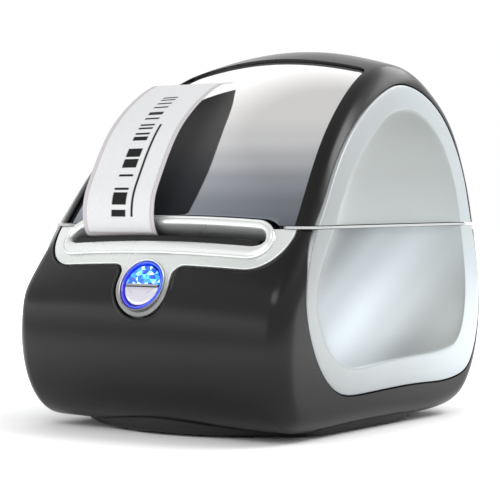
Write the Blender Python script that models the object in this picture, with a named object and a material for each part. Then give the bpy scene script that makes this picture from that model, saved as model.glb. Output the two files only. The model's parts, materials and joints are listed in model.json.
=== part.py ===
"""Desktop thermal label printer, built as an assembly of separate pieces.

Frame: +X to the right of someone facing the front, +Y to the back, +Z up, origin on the
floor under the middle of the outer box.  Every size below is in millimetres, and each mesh
is scaled to metres as its object is made.

The casing is one smooth body.  Its side view is a closed outline; across the width that
outline is drawn in by a gentle crown and rounded at both edges, and the sides follow a
barrel curve.  `casing` gives any point of that skin, so shells, window, bezel and rims
all lie on the same surface.
"""
import math

import bmesh
import bpy
import numpy as np
from mathutils import Matrix, Vector

MM = 0.001

# ---------------------------------------------------------------- driving dimensions
HALF_WIDTH = 63.5          # widest half width of the casing
WIDEST_Z = 48.0            # height of the widest point
BARREL = 0.00165           # how fast the sides draw in above and below it, per mm
EDGE_RADIUS = 7.5          # rounding between the skin and the flat sides
CROWN = 3.0                # how far the skin bulges in the middle of a vertical stretch
CROWN_TOP = 5.5            # and how much more where it faces up
CROWN_UNDER = 2.6          # and how much less where it faces down
LOWER_WALL = 2.4           # thickness of the lower housing
COVER_WALL = 3.4           # thickness of the cover, which holds the window in a rebate
SIDE_WALL = 5.9            # side panel, its pocket and the wall behind it
SEAM_Z = 78.4              # joint between the lower housing and the cover
SEAM_GAP = 1.2
CLEAR = 0.3                # gap kept between touching pieces

# side view of the casing at its middle, (y, z), clockwise from the seam at the front
SIDE_VIEW = [
    (-59.8, 78.4), (-45.3, 97.9), (-31.0, 114.9), (-15.0, 129.0), (1.7, 140.0),
    (17.7, 147.1), (32.9, 149.5), (45.8, 146.2), (55.3, 139.5), (62.9, 131.2),
    (68.7, 120.4), (72.5, 104.8), (74.5, 91.0), (75.6, 78.4), (77.6, 65.0),
    (79.0, 49.0), (78.2, 32.0), (73.8, 17.0), (65.0, 7.0), (50.0, 3.0),
    (25.0, 2.5), (-25.0, 2.5), (-54.0, 2.8), (-65.0, 5.4), (-73.6, 13.7),
    (-77.8, 25.0), (-78.6, 36.8), (-77.8, 45.6), (-75.8, 54.9), (-70.6, 64.4),
]

# silver side panel, (y, z), clockwise from the seam at the front
PANEL_VIEW = [
    (-50.2, 78.4), (-44.5, 85.5), (-33.3, 99.7), (-17.9, 114.0), (-0.8, 124.8),
    (13.2, 130.9), (26.1, 134.0), (38.0, 132.8), (46.3, 129.4), (52.8, 124.4),
    (58.0, 117.3), (61.9, 107.6), (64.5, 95.0), (66.2, 78.4), (68.8, 66.0),
    (70.2, 52.2), (69.7, 40.0), (67.0, 27.0), (62.4, 19.5), (54.0, 16.4),
    (25.0, 15.7), (-20.0, 15.2), (-35.0, 16.6), (-45.9, 23.0), (-53.5, 32.0),
    (-58.4, 42.2), (-60.2, 52.6), (-59.2, 60.6), (-56.0, 69.6),
]

# shallow dish in the panel, (y, z), point for point with the panel outline's run
DISH_VIEW = [
    (-39.2, 78.4), (-34.6, 85.0), (-25.4, 96.0), (-13.4, 107.2), (0.0, 115.8),
    (11.0, 121.6), (25.0, 124.6), (35.0, 123.6), (41.8, 120.4), (47.2, 115.8),
    (51.4, 109.0), (54.4, 100.0), (56.2, 90.0), (56.8, 78.4), (57.8, 66.0),
    (58.4, 54.5), (57.6, 44.0), (55.4, 36.0), (51.2, 30.6), (44.5, 28.4),
    (20.0, 27.0), (-14.0, 25.6), (-31.0, 25.8), (-40.6, 29.6), (-47.4, 36.0),
    (-52.0, 43.6), (-53.8, 51.0), (-52.4, 58.6), (-46.6, 69.0),
]

# front plate, slot rim and button, as (across, down the skin from the seam)
BEZEL_HALF = 57.0
BEZEL_TOP = -3.0           # trimmed to the seam afterwards
BEZEL_DROP = 17.5
BEZEL_CORNER = 16.0
BEZEL_THICK = 1.5
LOBE_S = 26.5
LOBE_R = 12.2
LOBE_FILLET = 5.0
BUTTON_R = 8.0
RING_R = 9.5
HOLE_R = 10.1              # hole for the ring, laid on the curved skin
SLOT_HALF = 46.5
SLOT_R = 5.0
SLOT_S = 4.5
NOTCH_GROW = 5.9           # cover's notch, beyond the slot opening
WINDOW_HALF = 55.4
WINDOW_TAPER = 1.0
WINDOW_TOP = -100.5
WINDOW_THICK = 1.8
WINDOW_LEDGE = 1.8
SLOT_BENDS = (-1.0, 4.0, 9.0)     # stations at which a slot's outline bends with the skin
RIM_HOLD = 1.6             # the slot rim's neck, outside the opening
LEDGE_SHARE = 2.2          # the window's ledge is wider along its lower edge

# foot and feet
FOOT_TOP = 9.0
FOOT_FLOOR = 1.0
FOOT_HALF = 56.0
FOOT_FRONT = -66.0
FOOT_ARC_R = 71.0
FOOT_BACK = 33.0
FOOT_POINTS = [(-42.0, -38.0), (42.0, -38.0), (-42.0, 22.0), (42.0, 22.0)]
FOOT_SCREWS = [(-30.0, -46.0), (30.0, -46.0), (-30.0, 24.0), (30.0, 24.0)]

# rear hinge of the cover
HINGE_Y = 67.0
HINGE_Z = 88.0
HINGE_PIN_R = 1.5
HINGE_EYE_R = 2.9
HINGE_X = 22.0
HINGE_SLOT = 3.1           # half width of the slots in the cover that pass the brackets
HINGE_SLOT_TOP = 92.5

# feed mechanism, (y, z) of each axis
PLATEN = (-44.0, 65.5)
PLATEN_R = 6.5
PLATEN_HALF = 43.0
SHAFT_R = 2.5
PLATE_X = 49.0             # inner face of the two side plates
PLATE_THICK = 1.6
MODULE = 1.0
PLATEN_TEETH = 20
IDLER_TEETH = 24
PINION_TEETH = 10
GEAR_X = 51.3
GEAR_WIDE = 3.0
GEAR_SLACK = 0.15          # added to each centre distance
IDLER_ANGLE = -32.0        # direction from platen to idler, degrees below the horizontal
PINION_ANGLE = -28.0
MOTOR_R = 17.5
MOTOR_LONG = 20.0
HEAD_PIVOT = (-22.0, 79.0)
HEAD_HALF = 38.0

# label strip and roll
LABEL_LEFT = -38.5
LABEL_RIGHT = -3.8
STRIP_THICK = 0.3
STRIP_STATIONS = 34
STRIP_PATH = [
    (-26.0, 72.7), (-50.0, 72.7), (-58.0, 73.6), (-61.6, 76.6), (-63.0, 82.0),
    (-62.0, 90.0), (-57.2, 99.4), (-51.8, 108.2), (-45.4, 116.2), (-36.2, 123.8),
    (-25.4, 130.2), (-16.0, 134.0), (-8.6, 135.1),
]
STRIP_FREE = 0.34          # share of the path at which the strip leaves the slot
STRIP_LEAN = 7.0          # sideways turn of its free end, degrees
SPOOL = (14.0, 93.0)
ROLL_R = 33.0
CORE_R = 13.0
SPINDLE_R = 9.0
FLANGE_R = 27.0
JOURNAL_R = 4.0
CRADLE_X = 48.0


# ---------------------------------------------------------------- curves
def closed_curve(points, count):
    """`count` points at equal steps on a smooth closed curve through the given points."""
    knots = np.array(points, float)
    total = len(knots)
    after = np.roll(knots, -1, axis=0)
    step = np.linalg.norm(after - knots, axis=1)
    system = np.zeros((total, total))
    right = np.zeros((total, knots.shape[1]))
    for i in range(total):
        before = i - 1
        system[i, before] += step[before]
        system[i, i] += 2 * (step[before] + step[i])
        system[i, (i + 1) % total] += step[i]
        right[i] = 6 * ((after[i] - knots[i]) / step[i] - (knots[i] - knots[before]) / step[before])
    bend = np.linalg.solve(system, right)
    dense = []
    for i in range(total):
        bend_next = bend[(i + 1) % total]
        for u in np.linspace(0, 1, 40, endpoint=False):
            w = 1 - u
            curl = (w ** 3 - w) * bend[i] + (u ** 3 - u) * bend_next
            dense.append(w * knots[i] + u * after[i] + curl * step[i] ** 2 / 6)
    return resample(np.array(dense), count)


def resample(dense, count):
    """`count` points at equal steps round a closed polyline, starting at its first point."""
    ring = np.vstack([dense, dense[:1]])
    along = np.concatenate([[0], np.cumsum(np.linalg.norm(np.diff(ring, axis=0), axis=1))])
    wanted = np.linspace(0, along[-1], count, endpoint=False)
    return np.stack([np.interp(wanted, along, ring[:, k]) for k in range(ring.shape[1])], 1)


def open_curve(points, count):
    """`count` points on a smooth open curve through the given points."""
    knots = [Vector((p[0], p[1], 0)) for p in points]
    dense = []
    last = len(knots) - 1
    for i in range(last):
        before = knots[max(i - 1, 0)]
        after = knots[min(i + 2, last)]
        slope_a = (knots[i + 1] - before) / (2 if i else 1)
        slope_b = (after - knots[i]) / (2 if i < last - 1 else 1)
        for k in range(20):
            u = k / 20
            dense.append((2 * u ** 3 - 3 * u ** 2 + 1) * knots[i] + (u ** 3 - 2 * u ** 2 + u) * slope_a
                         + (3 * u ** 2 - 2 * u ** 3) * knots[i + 1] + (u ** 3 - u ** 2) * slope_b)
    dense.append(knots[-1])
    flat = np.array([(p.x, p.y) for p in dense])
    along = np.concatenate([[0], np.cumsum(np.linalg.norm(np.diff(flat, axis=0), axis=1))])
    wanted = np.linspace(0, along[-1], count)
    return [(float(np.interp(s, along, flat[:, 0])), float(np.interp(s, along, flat[:, 1])))
            for s in wanted]


# ---------------------------------------------------------------- the casing's skin
SKIN_SAMPLES = 1200
SKIN = closed_curve(SIDE_VIEW, SKIN_SAMPLES)
SKIN_STEP = float(np.linalg.norm(SKIN[1] - SKIN[0]))
SKIN_LENGTH = SKIN_STEP * SKIN_SAMPLES
TANGENT = np.roll(SKIN, -8, axis=0) - np.roll(SKIN, 8, axis=0)
TANGENT /= np.linalg.norm(TANGENT, axis=1)[:, None]
NORMAL = np.stack([-TANGENT[:, 1], TANGENT[:, 0]], 1)


def half_width(z):
    """Half width of the casing's sides at height z."""
    return HALF_WIDTH - BARREL * (z - WIDEST_Z) ** 2


def skin_at(s):
    """Point and outward normal of the side view, `s` down the skin from the front seam."""
    place = (-s / SKIN_STEP) % SKIN_SAMPLES
    low = int(place) % SKIN_SAMPLES
    high = (low + 1) % SKIN_SAMPLES
    part = place - int(place)
    point = SKIN[low] * (1 - part) + SKIN[high] * part
    normal = NORMAL[low] * (1 - part) + NORMAL[high] * part
    return point, normal / np.linalg.norm(normal)


def inset(x, up):
    """How far the skin lies inside the side view at `x`, where its normal points `up`."""
    crown = CROWN + CROWN_TOP * max(0.0, up) ** 2 - CROWN_UNDER * max(0.0, -up) ** 2
    depth = crown * (x / HALF_WIDTH) ** 2
    over = min(abs(x) - (HALF_WIDTH - EDGE_RADIUS), EDGE_RADIUS)
    if over > 0:
        depth += EDGE_RADIUS - math.sqrt(EDGE_RADIUS ** 2 - over ** 2)
    return depth


def casing(x, s, h=0.0):
    """Point of the casing `x` across and `s` down the skin, `h` outside it."""
    point, normal = skin_at(s)
    y, z = point + normal * (h - inset(x, normal[1]))
    return Vector((x * half_width(z) / HALF_WIDTH, y, z))


def side_of(sign):
    """A map from (y, z, height above the flat side) to the side of the casing."""
    def place(y, z, h=0.0):
        return Vector((sign * (half_width(z) + h), y, z))
    return place


# ---------------------------------------------------------------- mesh helpers
MATERIALS = {
    "black_plastic": ((0.018, 0.018, 0.019), 0.28, 0.0),
    "dark_plastic": ((0.030, 0.030, 0.032), 0.55, 0.0),
    "silver_paint": ((0.56, 0.59, 0.60), 0.32, 0.75),
    "bright_paint": ((0.72, 0.74, 0.73), 0.30, 0.70),
    "window": ((0.30, 0.32, 0.35), 0.06, 0.30),
    "paper": ((0.80, 0.80, 0.79), 0.80, 0.0),
    "jewel": ((0.01, 0.10, 0.80), 0.15, 0.0),
    "rubber": ((0.030, 0.030, 0.030), 0.85, 0.0),
    "steel": ((0.55, 0.56, 0.57), 0.35, 1.0),
    "white_plastic": ((0.75, 0.75, 0.72), 0.45, 0.0),
    "board": ((0.02, 0.16, 0.06), 0.50, 0.0),
    "card": ((0.45, 0.33, 0.20), 0.85, 0.0),
}
SMOOTH_ANGLE = math.radians(32)
FLAT_ANGLE = math.radians(0.8)


def material(name):
    found = bpy.data.materials.get(name)
    if found:
        return found
    colour, rough, metal = MATERIALS[name]
    made = bpy.data.materials.new(name)
    made.use_nodes = True
    shader = made.node_tree.nodes["Principled BSDF"]
    shader.inputs["Base Color"].default_value = (*colour, 1)
    shader.inputs["Roughness"].default_value = rough
    shader.inputs["Metallic"].default_value = metal
    return made


def make(name, bm, finish, axis_point=(0, 0, 0)):
    """Turn a mesh in millimetres into an object whose origin is `axis_point`."""
    bmesh.ops.remove_doubles(bm, verts=bm.verts, dist=0.001)
    bmesh.ops.recalc_face_normals(bm, faces=bm.faces)
    shift = Matrix.Scale(MM, 4) @ Matrix.Translation(-Vector(axis_point))
    bmesh.ops.transform(bm, matrix=shift, verts=bm.verts)
    mesh = bpy.data.meshes.new(name)
    bm.to_mesh(mesh)
    bm.free()
    mesh.shade_smooth()
    mesh.set_sharp_from_angle(angle=SMOOTH_ANGLE)
    mesh.materials.append(material(finish))
    made = bpy.data.objects.new(name, mesh)
    made.location = Vector(axis_point) * MM
    bpy.context.collection.objects.link(made)
    return made


def combine(target, tool, operation="DIFFERENCE"):
    """Cut `tool` from `target`, or join it on, and remove the tool."""
    bpy.context.view_layer.update()
    step = target.modifiers.new(operation.lower(), "BOOLEAN")
    step.operation = operation
    step.solver = "EXACT"
    step.object = tool
    graph = bpy.context.evaluated_depsgraph_get()
    result = bpy.data.meshes.new_from_object(target.evaluated_get(graph))
    target.modifiers.remove(step)
    old = target.data
    target.data = result
    bpy.data.meshes.remove(old)
    bpy.data.objects.remove(tool)


def merge_flat(target):
    """Merge the flat facets that a chain of cuts leaves behind."""
    bm = bmesh.new()
    bm.from_mesh(target.data)
    bmesh.ops.dissolve_limit(bm, angle_limit=FLAT_ANGLE, verts=bm.verts, edges=bm.edges)
    bm.to_mesh(target.data)
    bm.free()


def cutter(bm, axis_point=(0, 0, 0)):
    made = make("cutter", bm, "dark_plastic", axis_point)
    made.hide_render = True
    made.display_type = "WIRE"
    return made


def box_mesh(low, high):
    bm = bmesh.new()
    size = Vector(high) - Vector(low)
    middle = (Vector(high) + Vector(low)) / 2
    place = Matrix.Translation(middle) @ Matrix.Diagonal((*size, 1))
    bmesh.ops.create_cube(bm, size=1, matrix=place)
    return bm


def loft(rings, closed=False):
    """A solid skinned over rings of equal length; capped at both ends unless closed."""
    bm = bmesh.new()
    loops = [[bm.verts.new(p) for p in ring] for ring in rings]
    count = len(rings[0])
    pairs = list(zip(loops, loops[1:]))
    if closed:
        pairs.append((loops[-1], loops[0]))
    for near, far in pairs:
        for k in range(count):
            nxt = (k + 1) % count
            bm.faces.new((near[k], near[nxt], far[nxt], far[k]))
    if not closed:
        bm.faces.new(loops[0])
        bm.faces.new(reversed(loops[-1]))
    return bm


def turned(profile, axis_point, sides=24, closed=False):
    """A solid turned round the X line through `axis_point`, from (x, radius) points."""
    y0, z0 = axis_point
    rings = []
    for x, radius in profile:
        ring = []
        for k in range(sides):
            turn = 2 * math.pi * k / sides
            ring.append((x, y0 + radius * math.cos(turn), z0 + radius * math.sin(turn)))
        rings.append(ring)
    return loft(rings, closed)


def slab(outline, low, high):
    """An outline in (y, z), extruded across from x = low to x = high."""
    return loft([[(x, y, z) for y, z in outline] for x in (low, high)])


def plate_on(place, outline, low, high, cuts, holes=()):
    """An outline laid on a curved skin, from height `low` to `high` above it.

    `cuts` are the stations (0 for the first coordinate, 1 for the second) at which the
    flat outline is divided, so that it can bend.
    """
    bm = bmesh.new()
    edges = []
    for ring in (outline, *holes):
        verts = [bm.verts.new((u, v, 0)) for u, v in ring]
        edges += [bm.edges.new((verts[k], verts[(k + 1) % len(verts)])) for k in range(len(verts))]
    bmesh.ops.triangle_fill(bm, use_beauty=True, use_dissolve=False, edges=edges)
    for axis, stations in enumerate(cuts):
        normal = [0, 0, 0]
        normal[axis] = 1
        for station in stations:
            point = [0, 0, 0]
            point[axis] = station
            everything = bm.verts[:] + bm.edges[:] + bm.faces[:]
            bmesh.ops.bisect_plane(bm, geom=everything, plane_co=point, plane_no=normal, dist=0.0005)
    bmesh.ops.dissolve_degenerate(bm, edges=bm.edges, dist=0.0005)
    for vert in bm.verts:
        vert.co.z = low
    lifted = bmesh.ops.extrude_face_region(bm, geom=bm.faces[:])
    for item in lifted["geom"]:
        if isinstance(item, bmesh.types.BMVert):
            item.co.z = high
    for vert in bm.verts:
        vert.co = place(*vert.co)
    return bm


def obround(half, radius, centre, grow=0.0, steps=8):
    """Outline of a slot with round ends, anticlockwise, grown outwards by `grow`."""
    ring = []
    for side, start in ((1, -90), (-1, 90)):
        for k in range(steps + 1):
            turn = math.radians(start + 180 * k / steps)
            ring.append((side * (half - radius) + (radius + grow) * math.cos(turn),
                         centre + (radius + grow) * math.sin(turn)))
    return ring


def circle(radius, centre=(0.0, 0.0), steps=24, start=0.0, sweep=360.0):
    whole = sweep >= 360
    count = steps if whole else steps + 1
    return [(centre[0] + radius * math.cos(math.radians(start + sweep * k / steps)),
             centre[1] + radius * math.sin(math.radians(start + sweep * k / steps)))
            for k in range(count)]


def stations(low, high, pitch):
    count = int((high - low) / pitch)
    return [low + pitch * (k + 1) for k in range(count) if low + pitch * (k + 1) < high - 0.5]


# ---------------------------------------------------------------- casing
def casing_solid(points, inner=0.0, side_inner=0.0, middle=6):
    """The closed body of the casing, or its cavity `inner` below the skin."""
    flat = HALF_WIDTH - EDGE_RADIUS
    turns = [90, 45] if inner else [90, 60, 30]
    edge = [flat + EDGE_RADIUS * math.sin(math.radians(t)) for t in turns]
    across = edge + [flat - 2 * flat * k / middle for k in range(middle + 1)] + [-x for x in reversed(edge)]
    squeeze = (HALF_WIDTH - side_inner) / HALF_WIDTH
    rings = []
    for x in across:
        rings.append([casing(x, -SKIN_LENGTH * k / points, -inner) for k in range(points)])
    # each flat end closes through smaller copies of its outline, which keep the barrel curve
    for end, order in ((0, -1), (-1, 1)):
        outline = rings[end]
        centre = sum(outline, Vector()) / points
        sign = 1 if outline[0].x > 0 else -1
        for scale in (0.55, 0.05):
            ring = []
            for p in outline:
                y = centre.y + (p.y - centre.y) * scale
                z = centre.z + (p.z - centre.z) * scale
                ring.append(Vector((sign * half_width(z), y, z)))
            if order < 0:
                rings.insert(0, ring)
            else:
                rings.append(ring)
    for ring in rings:
        for p in ring:
            p.x *= squeeze
    return loft(rings)


def panel_solid(sign, grow=0.0, low=-3.4, high=0.35, points=32, dished=True):
    """A whole side panel, cover and body part in one, with its dish."""
    place = side_of(sign)
    outer = closed_curve(PANEL_VIEW, points)
    dish = closed_curve(DISH_VIEW, points)
    middle = dish.mean(axis=0)

    def ring(shape, toward, h):
        return [place(*(p + (middle - p) * toward), h) for p in shape]

    def grown(amount):
        ahead = np.roll(outer, -1, axis=0) - np.roll(outer, 1, axis=0)
        ahead /= np.linalg.norm(ahead, axis=1)[:, None]
        return outer + amount * np.stack([-ahead[:, 1], ahead[:, 0]], 1)

    rings = [ring(outer, 0.93, low), ring(outer, 0.5, low), ring(grown(grow), 0, low)]
    if dished:
        rings += [ring(grown(grow), 0, high - 0.4), ring(grown(grow - 0.5), 0, high)]
        rings += [ring(dish, -0.015, high), ring(dish, 0.03, high - 0.7), ring(dish, 0.10, high - 1.9)]
        rings += [ring(dish, 0.22, high - 2.6), ring(dish, 0.93, high - 2.75)]
    else:
        rings += [ring(grown(grow), 0, high), ring(outer, 0.93, high)]
    return loft(rings)


def bezel_outline(grow=0.0):
    """The front plate: a bar with swept ends and a round lobe under its middle."""
    top = BEZEL_TOP - grow
    drop = BEZEL_DROP + grow
    half = BEZEL_HALF + grow
    corner = BEZEL_CORNER + grow
    reach = LOBE_R + LOBE_FILLET
    fillet = LOBE_FILLET - grow
    fall = LOBE_S - (BEZEL_DROP + LOBE_FILLET)
    fillet_x = math.sqrt(reach ** 2 - fall ** 2)
    lean = math.degrees(math.atan2(fall, fillet_x))
    side = [(half - corner + corner * math.cos(math.radians(t)), top + (drop - top) * math.sin(math.radians(t)))
            for t in range(0, 91, 15)]
    side += circle(fillet, (fillet_x, BEZEL_DROP + LOBE_FILLET), 4, -90, -(90 - lean))
    side += circle(LOBE_R + grow, (0, LOBE_S), 9, -lean, 90 + lean)[1:]
    return side + [(-x, s) for x, s in reversed(side[:-1])]


def window_outline(grow=0.0):
    """The clear front panel: tapering, round at its top corners, notched over the slot."""
    low = -1.0 + grow * (1.0 if grow > 0 else LEDGE_SHARE)
    high = WINDOW_TOP - grow
    foot = WINDOW_HALF + grow
    head = WINDOW_HALF - WINDOW_TAPER + grow
    ring = [(foot, low)]
    ring += [(head - 5 + 5 * math.cos(math.radians(t)), high + 5 - 5 * math.sin(math.radians(t)))
             for t in (0, 30, 60, 90)]
    notch = []
    for x, s in obround(SLOT_HALF, SLOT_R, SLOT_S, NOTCH_GROW - grow):
        if s < low:
            notch.append((x, s))
    notch.sort()
    return ring + [(-x, s) for x, s in reversed(ring)] + notch


def build_casing():
    lower = make("lower_housing", casing_solid(44), "black_plastic")
    upper = make("cover_shell", casing_solid(44), "black_plastic")
    for target, side, wall in ((lower, 1, LOWER_WALL), (upper, -1, COVER_WALL)):
        combine(target, cutter(casing_solid(30, wall, SIDE_WALL, 4)))
        level = SEAM_Z - side * SEAM_GAP / 2
        low = level if side > 0 else -10
        high = 170 if side > 0 else level
        combine(target, cutter(box_mesh((-90, -100, low), (90, 100, high))))
        for sign in (1, -1):
            pocket = panel_solid(sign, CLEAR + 0.1, -3.9, 3.0, 32, False)
            combine(target, cutter(pocket))
    return lower, upper


def finish_lower(lower):
    across = stations(-60, 60, 20)
    bend = (across, stations(0, 40, 6))
    combine(lower, cutter(plate_on(casing, bezel_outline(CLEAR), -BEZEL_THICK, 4, bend)))
    slot = obround(SLOT_HALF, SLOT_R, SLOT_S, RIM_HOLD + CLEAR)
    combine(lower, cutter(plate_on(casing, slot, -9, 6, (across, SLOT_BENDS))))
    combine(lower, cutter(plate_on(casing, circle(HOLE_R, (0, LOBE_S)), -9, 4, ((), (LOBE_S,)))))
    combine(lower, cutter(foot_mesh(CLEAR, -1, 12)))
    combine(lower, cutter(box_mesh((-80, HINGE_Y - 9, 75.9), (80, 90, 90))))
    for x, wide, low, high in PORTS:
        combine(lower, cutter(box_mesh((x - wide / 2, 60, low), (x + wide / 2, 90, high))))


def finish_cover(upper):
    bend = (stations(-60, 60, 15), stations(WINDOW_TOP, 0, 13))
    combine(upper, cutter(plate_on(casing, window_outline(CLEAR), -WINDOW_THICK - 0.1, 5, bend)))
    combine(upper, cutter(plate_on(casing, window_outline(-WINDOW_LEDGE), -9, 5, bend)))
    notch = obround(SLOT_HALF, SLOT_R, SLOT_S, NOTCH_GROW)
    combine(upper, cutter(plate_on(casing, notch, -6, 6, (bend[0], SLOT_BENDS))))
    for x in (-HINGE_X, HINGE_X):
        combine(upper, cutter(box_mesh((x - HINGE_SLOT, HINGE_Y - 4, 70), (x + HINGE_SLOT, 90, HINGE_SLOT_TOP))))


def foot_mesh(grow, low, high):
    """The pedestal: an arc at the front, straight sides, round corners behind."""
    half = FOOT_HALF + grow
    radius = FOOT_ARC_R + grow
    spread = math.degrees(math.asin((half - 5) / radius))
    centre = FOOT_FRONT + FOOT_ARC_R
    front = [(radius * math.sin(math.radians(a)), centre - radius * math.cos(math.radians(a)))
             for a in np.linspace(-spread, spread, 15)]
    join = front[-1][1] + 7
    back = FOOT_BACK + grow
    side = [(half, join)] + [(half - 12 + 12 * math.cos(t), back - 12 + 12 * math.sin(t))
                             for t in np.linspace(0, math.pi / 2, 5)]
    ring = front + side + [(-x, y) for x, y in reversed(side)]
    return loft([[(x, y, z) for x, y in ring] for z in (low, high)])


def build_foot():
    base = make("base_plate", foot_mesh(0, FOOT_FLOOR, FOOT_TOP), "dark_plastic")
    combine(base, cutter(foot_mesh(-3, 4, 12)))
    for x, y in FOOT_SCREWS:
        combine(base, cutter(upright((x, y), ((0, 1.8), (12, 1.8)), 8)))
    names = ("front_left", "front_right", "rear_left", "rear_right")
    for name, (x, y) in zip(names, FOOT_POINTS):
        pad = upright((x, y), ((0, 6.3), (FOOT_FLOOR - 0.05, 6.3)), 16)
        make("rubber_foot_" + name, pad, "rubber", (x, y, 0))
    for name, (x, y) in zip(names, FOOT_SCREWS):
        screw = upright((x, y), ((1.2, 1.5), (4.3, 1.5), (4.3, 3.0), (6.0, 2.4)), 8)
        make("base_screw_" + name, screw, "steel", (x, y, 0))


def upright(place, profile, sides):
    """A solid turned round a vertical line, from (z, radius) points."""
    x0, y0 = place
    return loft([[(x0 + r * math.cos(2 * math.pi * k / sides), y0 + r * math.sin(2 * math.pi * k / sides), z)
                  for k in range(sides)] for z, r in profile])


# ---------------------------------------------------------------- front
def on_button(u, v, h):
    """Point beside the button's middle: across, down and out along its own normal."""
    middle, out, down = BUTTON_FRAME
    return middle + Vector((u, 0, 0)) + down * v + out * h


def button_frame():
    middle = casing(0, LOBE_S)
    ahead = casing(0, LOBE_S + 0.5) - casing(0, LOBE_S - 0.5)
    down = ahead.normalized()
    out = casing(0, LOBE_S, 1) - middle
    out = (out - down * out.dot(down)).normalized()
    return middle, out, down


def disc_half(radius, side, gap, low, high, dome):
    """Half a disc on the button's face, domed by `dome`."""
    edge = circle(radius, (0, 0), 14, 0, 180)
    ring = [(u, side * max(v, gap)) for u, v in edge]
    rings = [[on_button(u, v, low) for u, v in ring], [on_button(u, v, high) for u, v in ring]]
    rings.append([on_button(u * 0.94, side * gap + (v - side * gap) * 0.94, high + dome) for u, v in ring])
    return loft(rings)


def build_front():
    across = stations(-60, 60, 20)
    slot = obround(SLOT_HALF, SLOT_R, SLOT_S, RIM_HOLD + CLEAR)
    low, high = -BEZEL_THICK + CLEAR / 2, 0.2
    plate = make("front_bezel", plate_on(casing, bezel_outline(), low, high, (across, stations(0, 40, 6))),
                 "bright_paint")
    combine(plate, cutter(plate_on(casing, slot, -9, 6, (across, SLOT_BENDS))))
    combine(plate, cutter(plate_on(casing, circle(HOLE_R, (0, LOBE_S)), -9, 4, ((), (LOBE_S,)))))
    combine(plate, cutter(box_mesh((-90, -100, SEAM_Z - SEAM_GAP / 2 - 0.1), (90, 0, 100))))

    rim = [(1.6, -3.0), (1.6, 0.5), (3.7, 0.5), (3.7, 1.6), (2.6, 2.7), (1.3, 2.3), (0.4, 0.4), (0.0, -3.0)]
    rings = []
    for grow, height in rim:
        ring = []
        for x, s in resample(np.array(obround(SLOT_HALF, SLOT_R, SLOT_S, grow)), 36):
            ring.append(casing(x, s, height))
        rings.append(ring)
    make("exit_slot_rim", loft(rings, True), "bright_paint")

    teeth = 36
    edge = []
    for k in range(teeth):
        left = -SLOT_HALF + 2.2 + (2 * SLOT_HALF - 4.4) * k / teeth
        edge += [(left, 6.2), (left + 1.0, 5.4)]
    edge.append((SLOT_HALF - 2.2, 6.2))
    bar = edge + [(SLOT_HALF - 4.5, 8.5), (-SLOT_HALF + 4.5, 8.5)]
    make("tear_bar", plate_on(casing, bar, -3.4, -0.8, ((-24, 0, 24), ())), "dark_plastic")

    ring = []
    for radius, height in ((8.5, -3.0), (RING_R, -3.0), (RING_R, 0.0), (9.2, 0.5), (8.8, 0.5), (8.5, 0.1)):
        ring.append([on_button(u, v, height) for u, v in circle(radius, (0, 0), 32)])
    make("button_light_ring", loft(ring, True), "jewel")
    make("status_light_lens", disc_half(BUTTON_R, -1, 0.5, -3.0, -0.6, 0.6), "jewel")
    middle = on_button(0, 0, 0)
    button = make("feed_button", disc_half(BUTTON_R, 1, 0.5, -3.0, 0.0, 0.6), "silver_paint", middle)
    stem = [[on_button(u, v, h) for u, v in circle(1.6, (0, 3.4), 12)] for h in (-6.6, -2.0)]
    combine(button, cutter(loft(stem)), "UNION")
    base = [[on_button(u, v, h) for u, v in ((-8, -7), (8, -7), (8, 8), (-8, 8))] for h in (-11.0, -9.4)]
    board = make("button_board", loft(base), "board")
    switch = [[on_button(u, v, h) for u, v in circle(2.4, (0, 3.4), 16)] for h in (-9.8, -7.9)]
    combine(board, cutter(loft(switch)), "UNION")
    led = [[on_button(u, v, h) for u, v in circle(r, (0, -3.6), 16)]
           for h, r in ((-9.1, 1.9), (-6.6, 1.9), (-5.6, 1.5), (-5.0, 0.7))]
    make("status_led", loft(led), "white_plastic")


def build_panels():
    for name, sign in (("right", 1), ("left", -1)):
        for level, part in ((1, "upper"), (-1, "lower")):
            panel = make("side_panel_%s_%s" % (part, name), panel_solid(sign), "silver_paint")
            low = -10 if level > 0 else SEAM_Z - SEAM_GAP / 2 - 0.2
            high = SEAM_Z + SEAM_GAP / 2 + 0.2 if level > 0 else 170
            combine(panel, cutter(box_mesh((-90, -100, low), (90, 100, high))))
    bend = (stations(-60, 60, 15), stations(WINDOW_TOP, 0, 13))
    pane = make("cover_window", plate_on(casing, window_outline(), -WINDOW_THICK + 0.2, 0.0, bend), "window")
    combine(pane, cutter(box_mesh((-90, -100, 0), (90, 0, SEAM_Z + SEAM_GAP / 2))))


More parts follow.
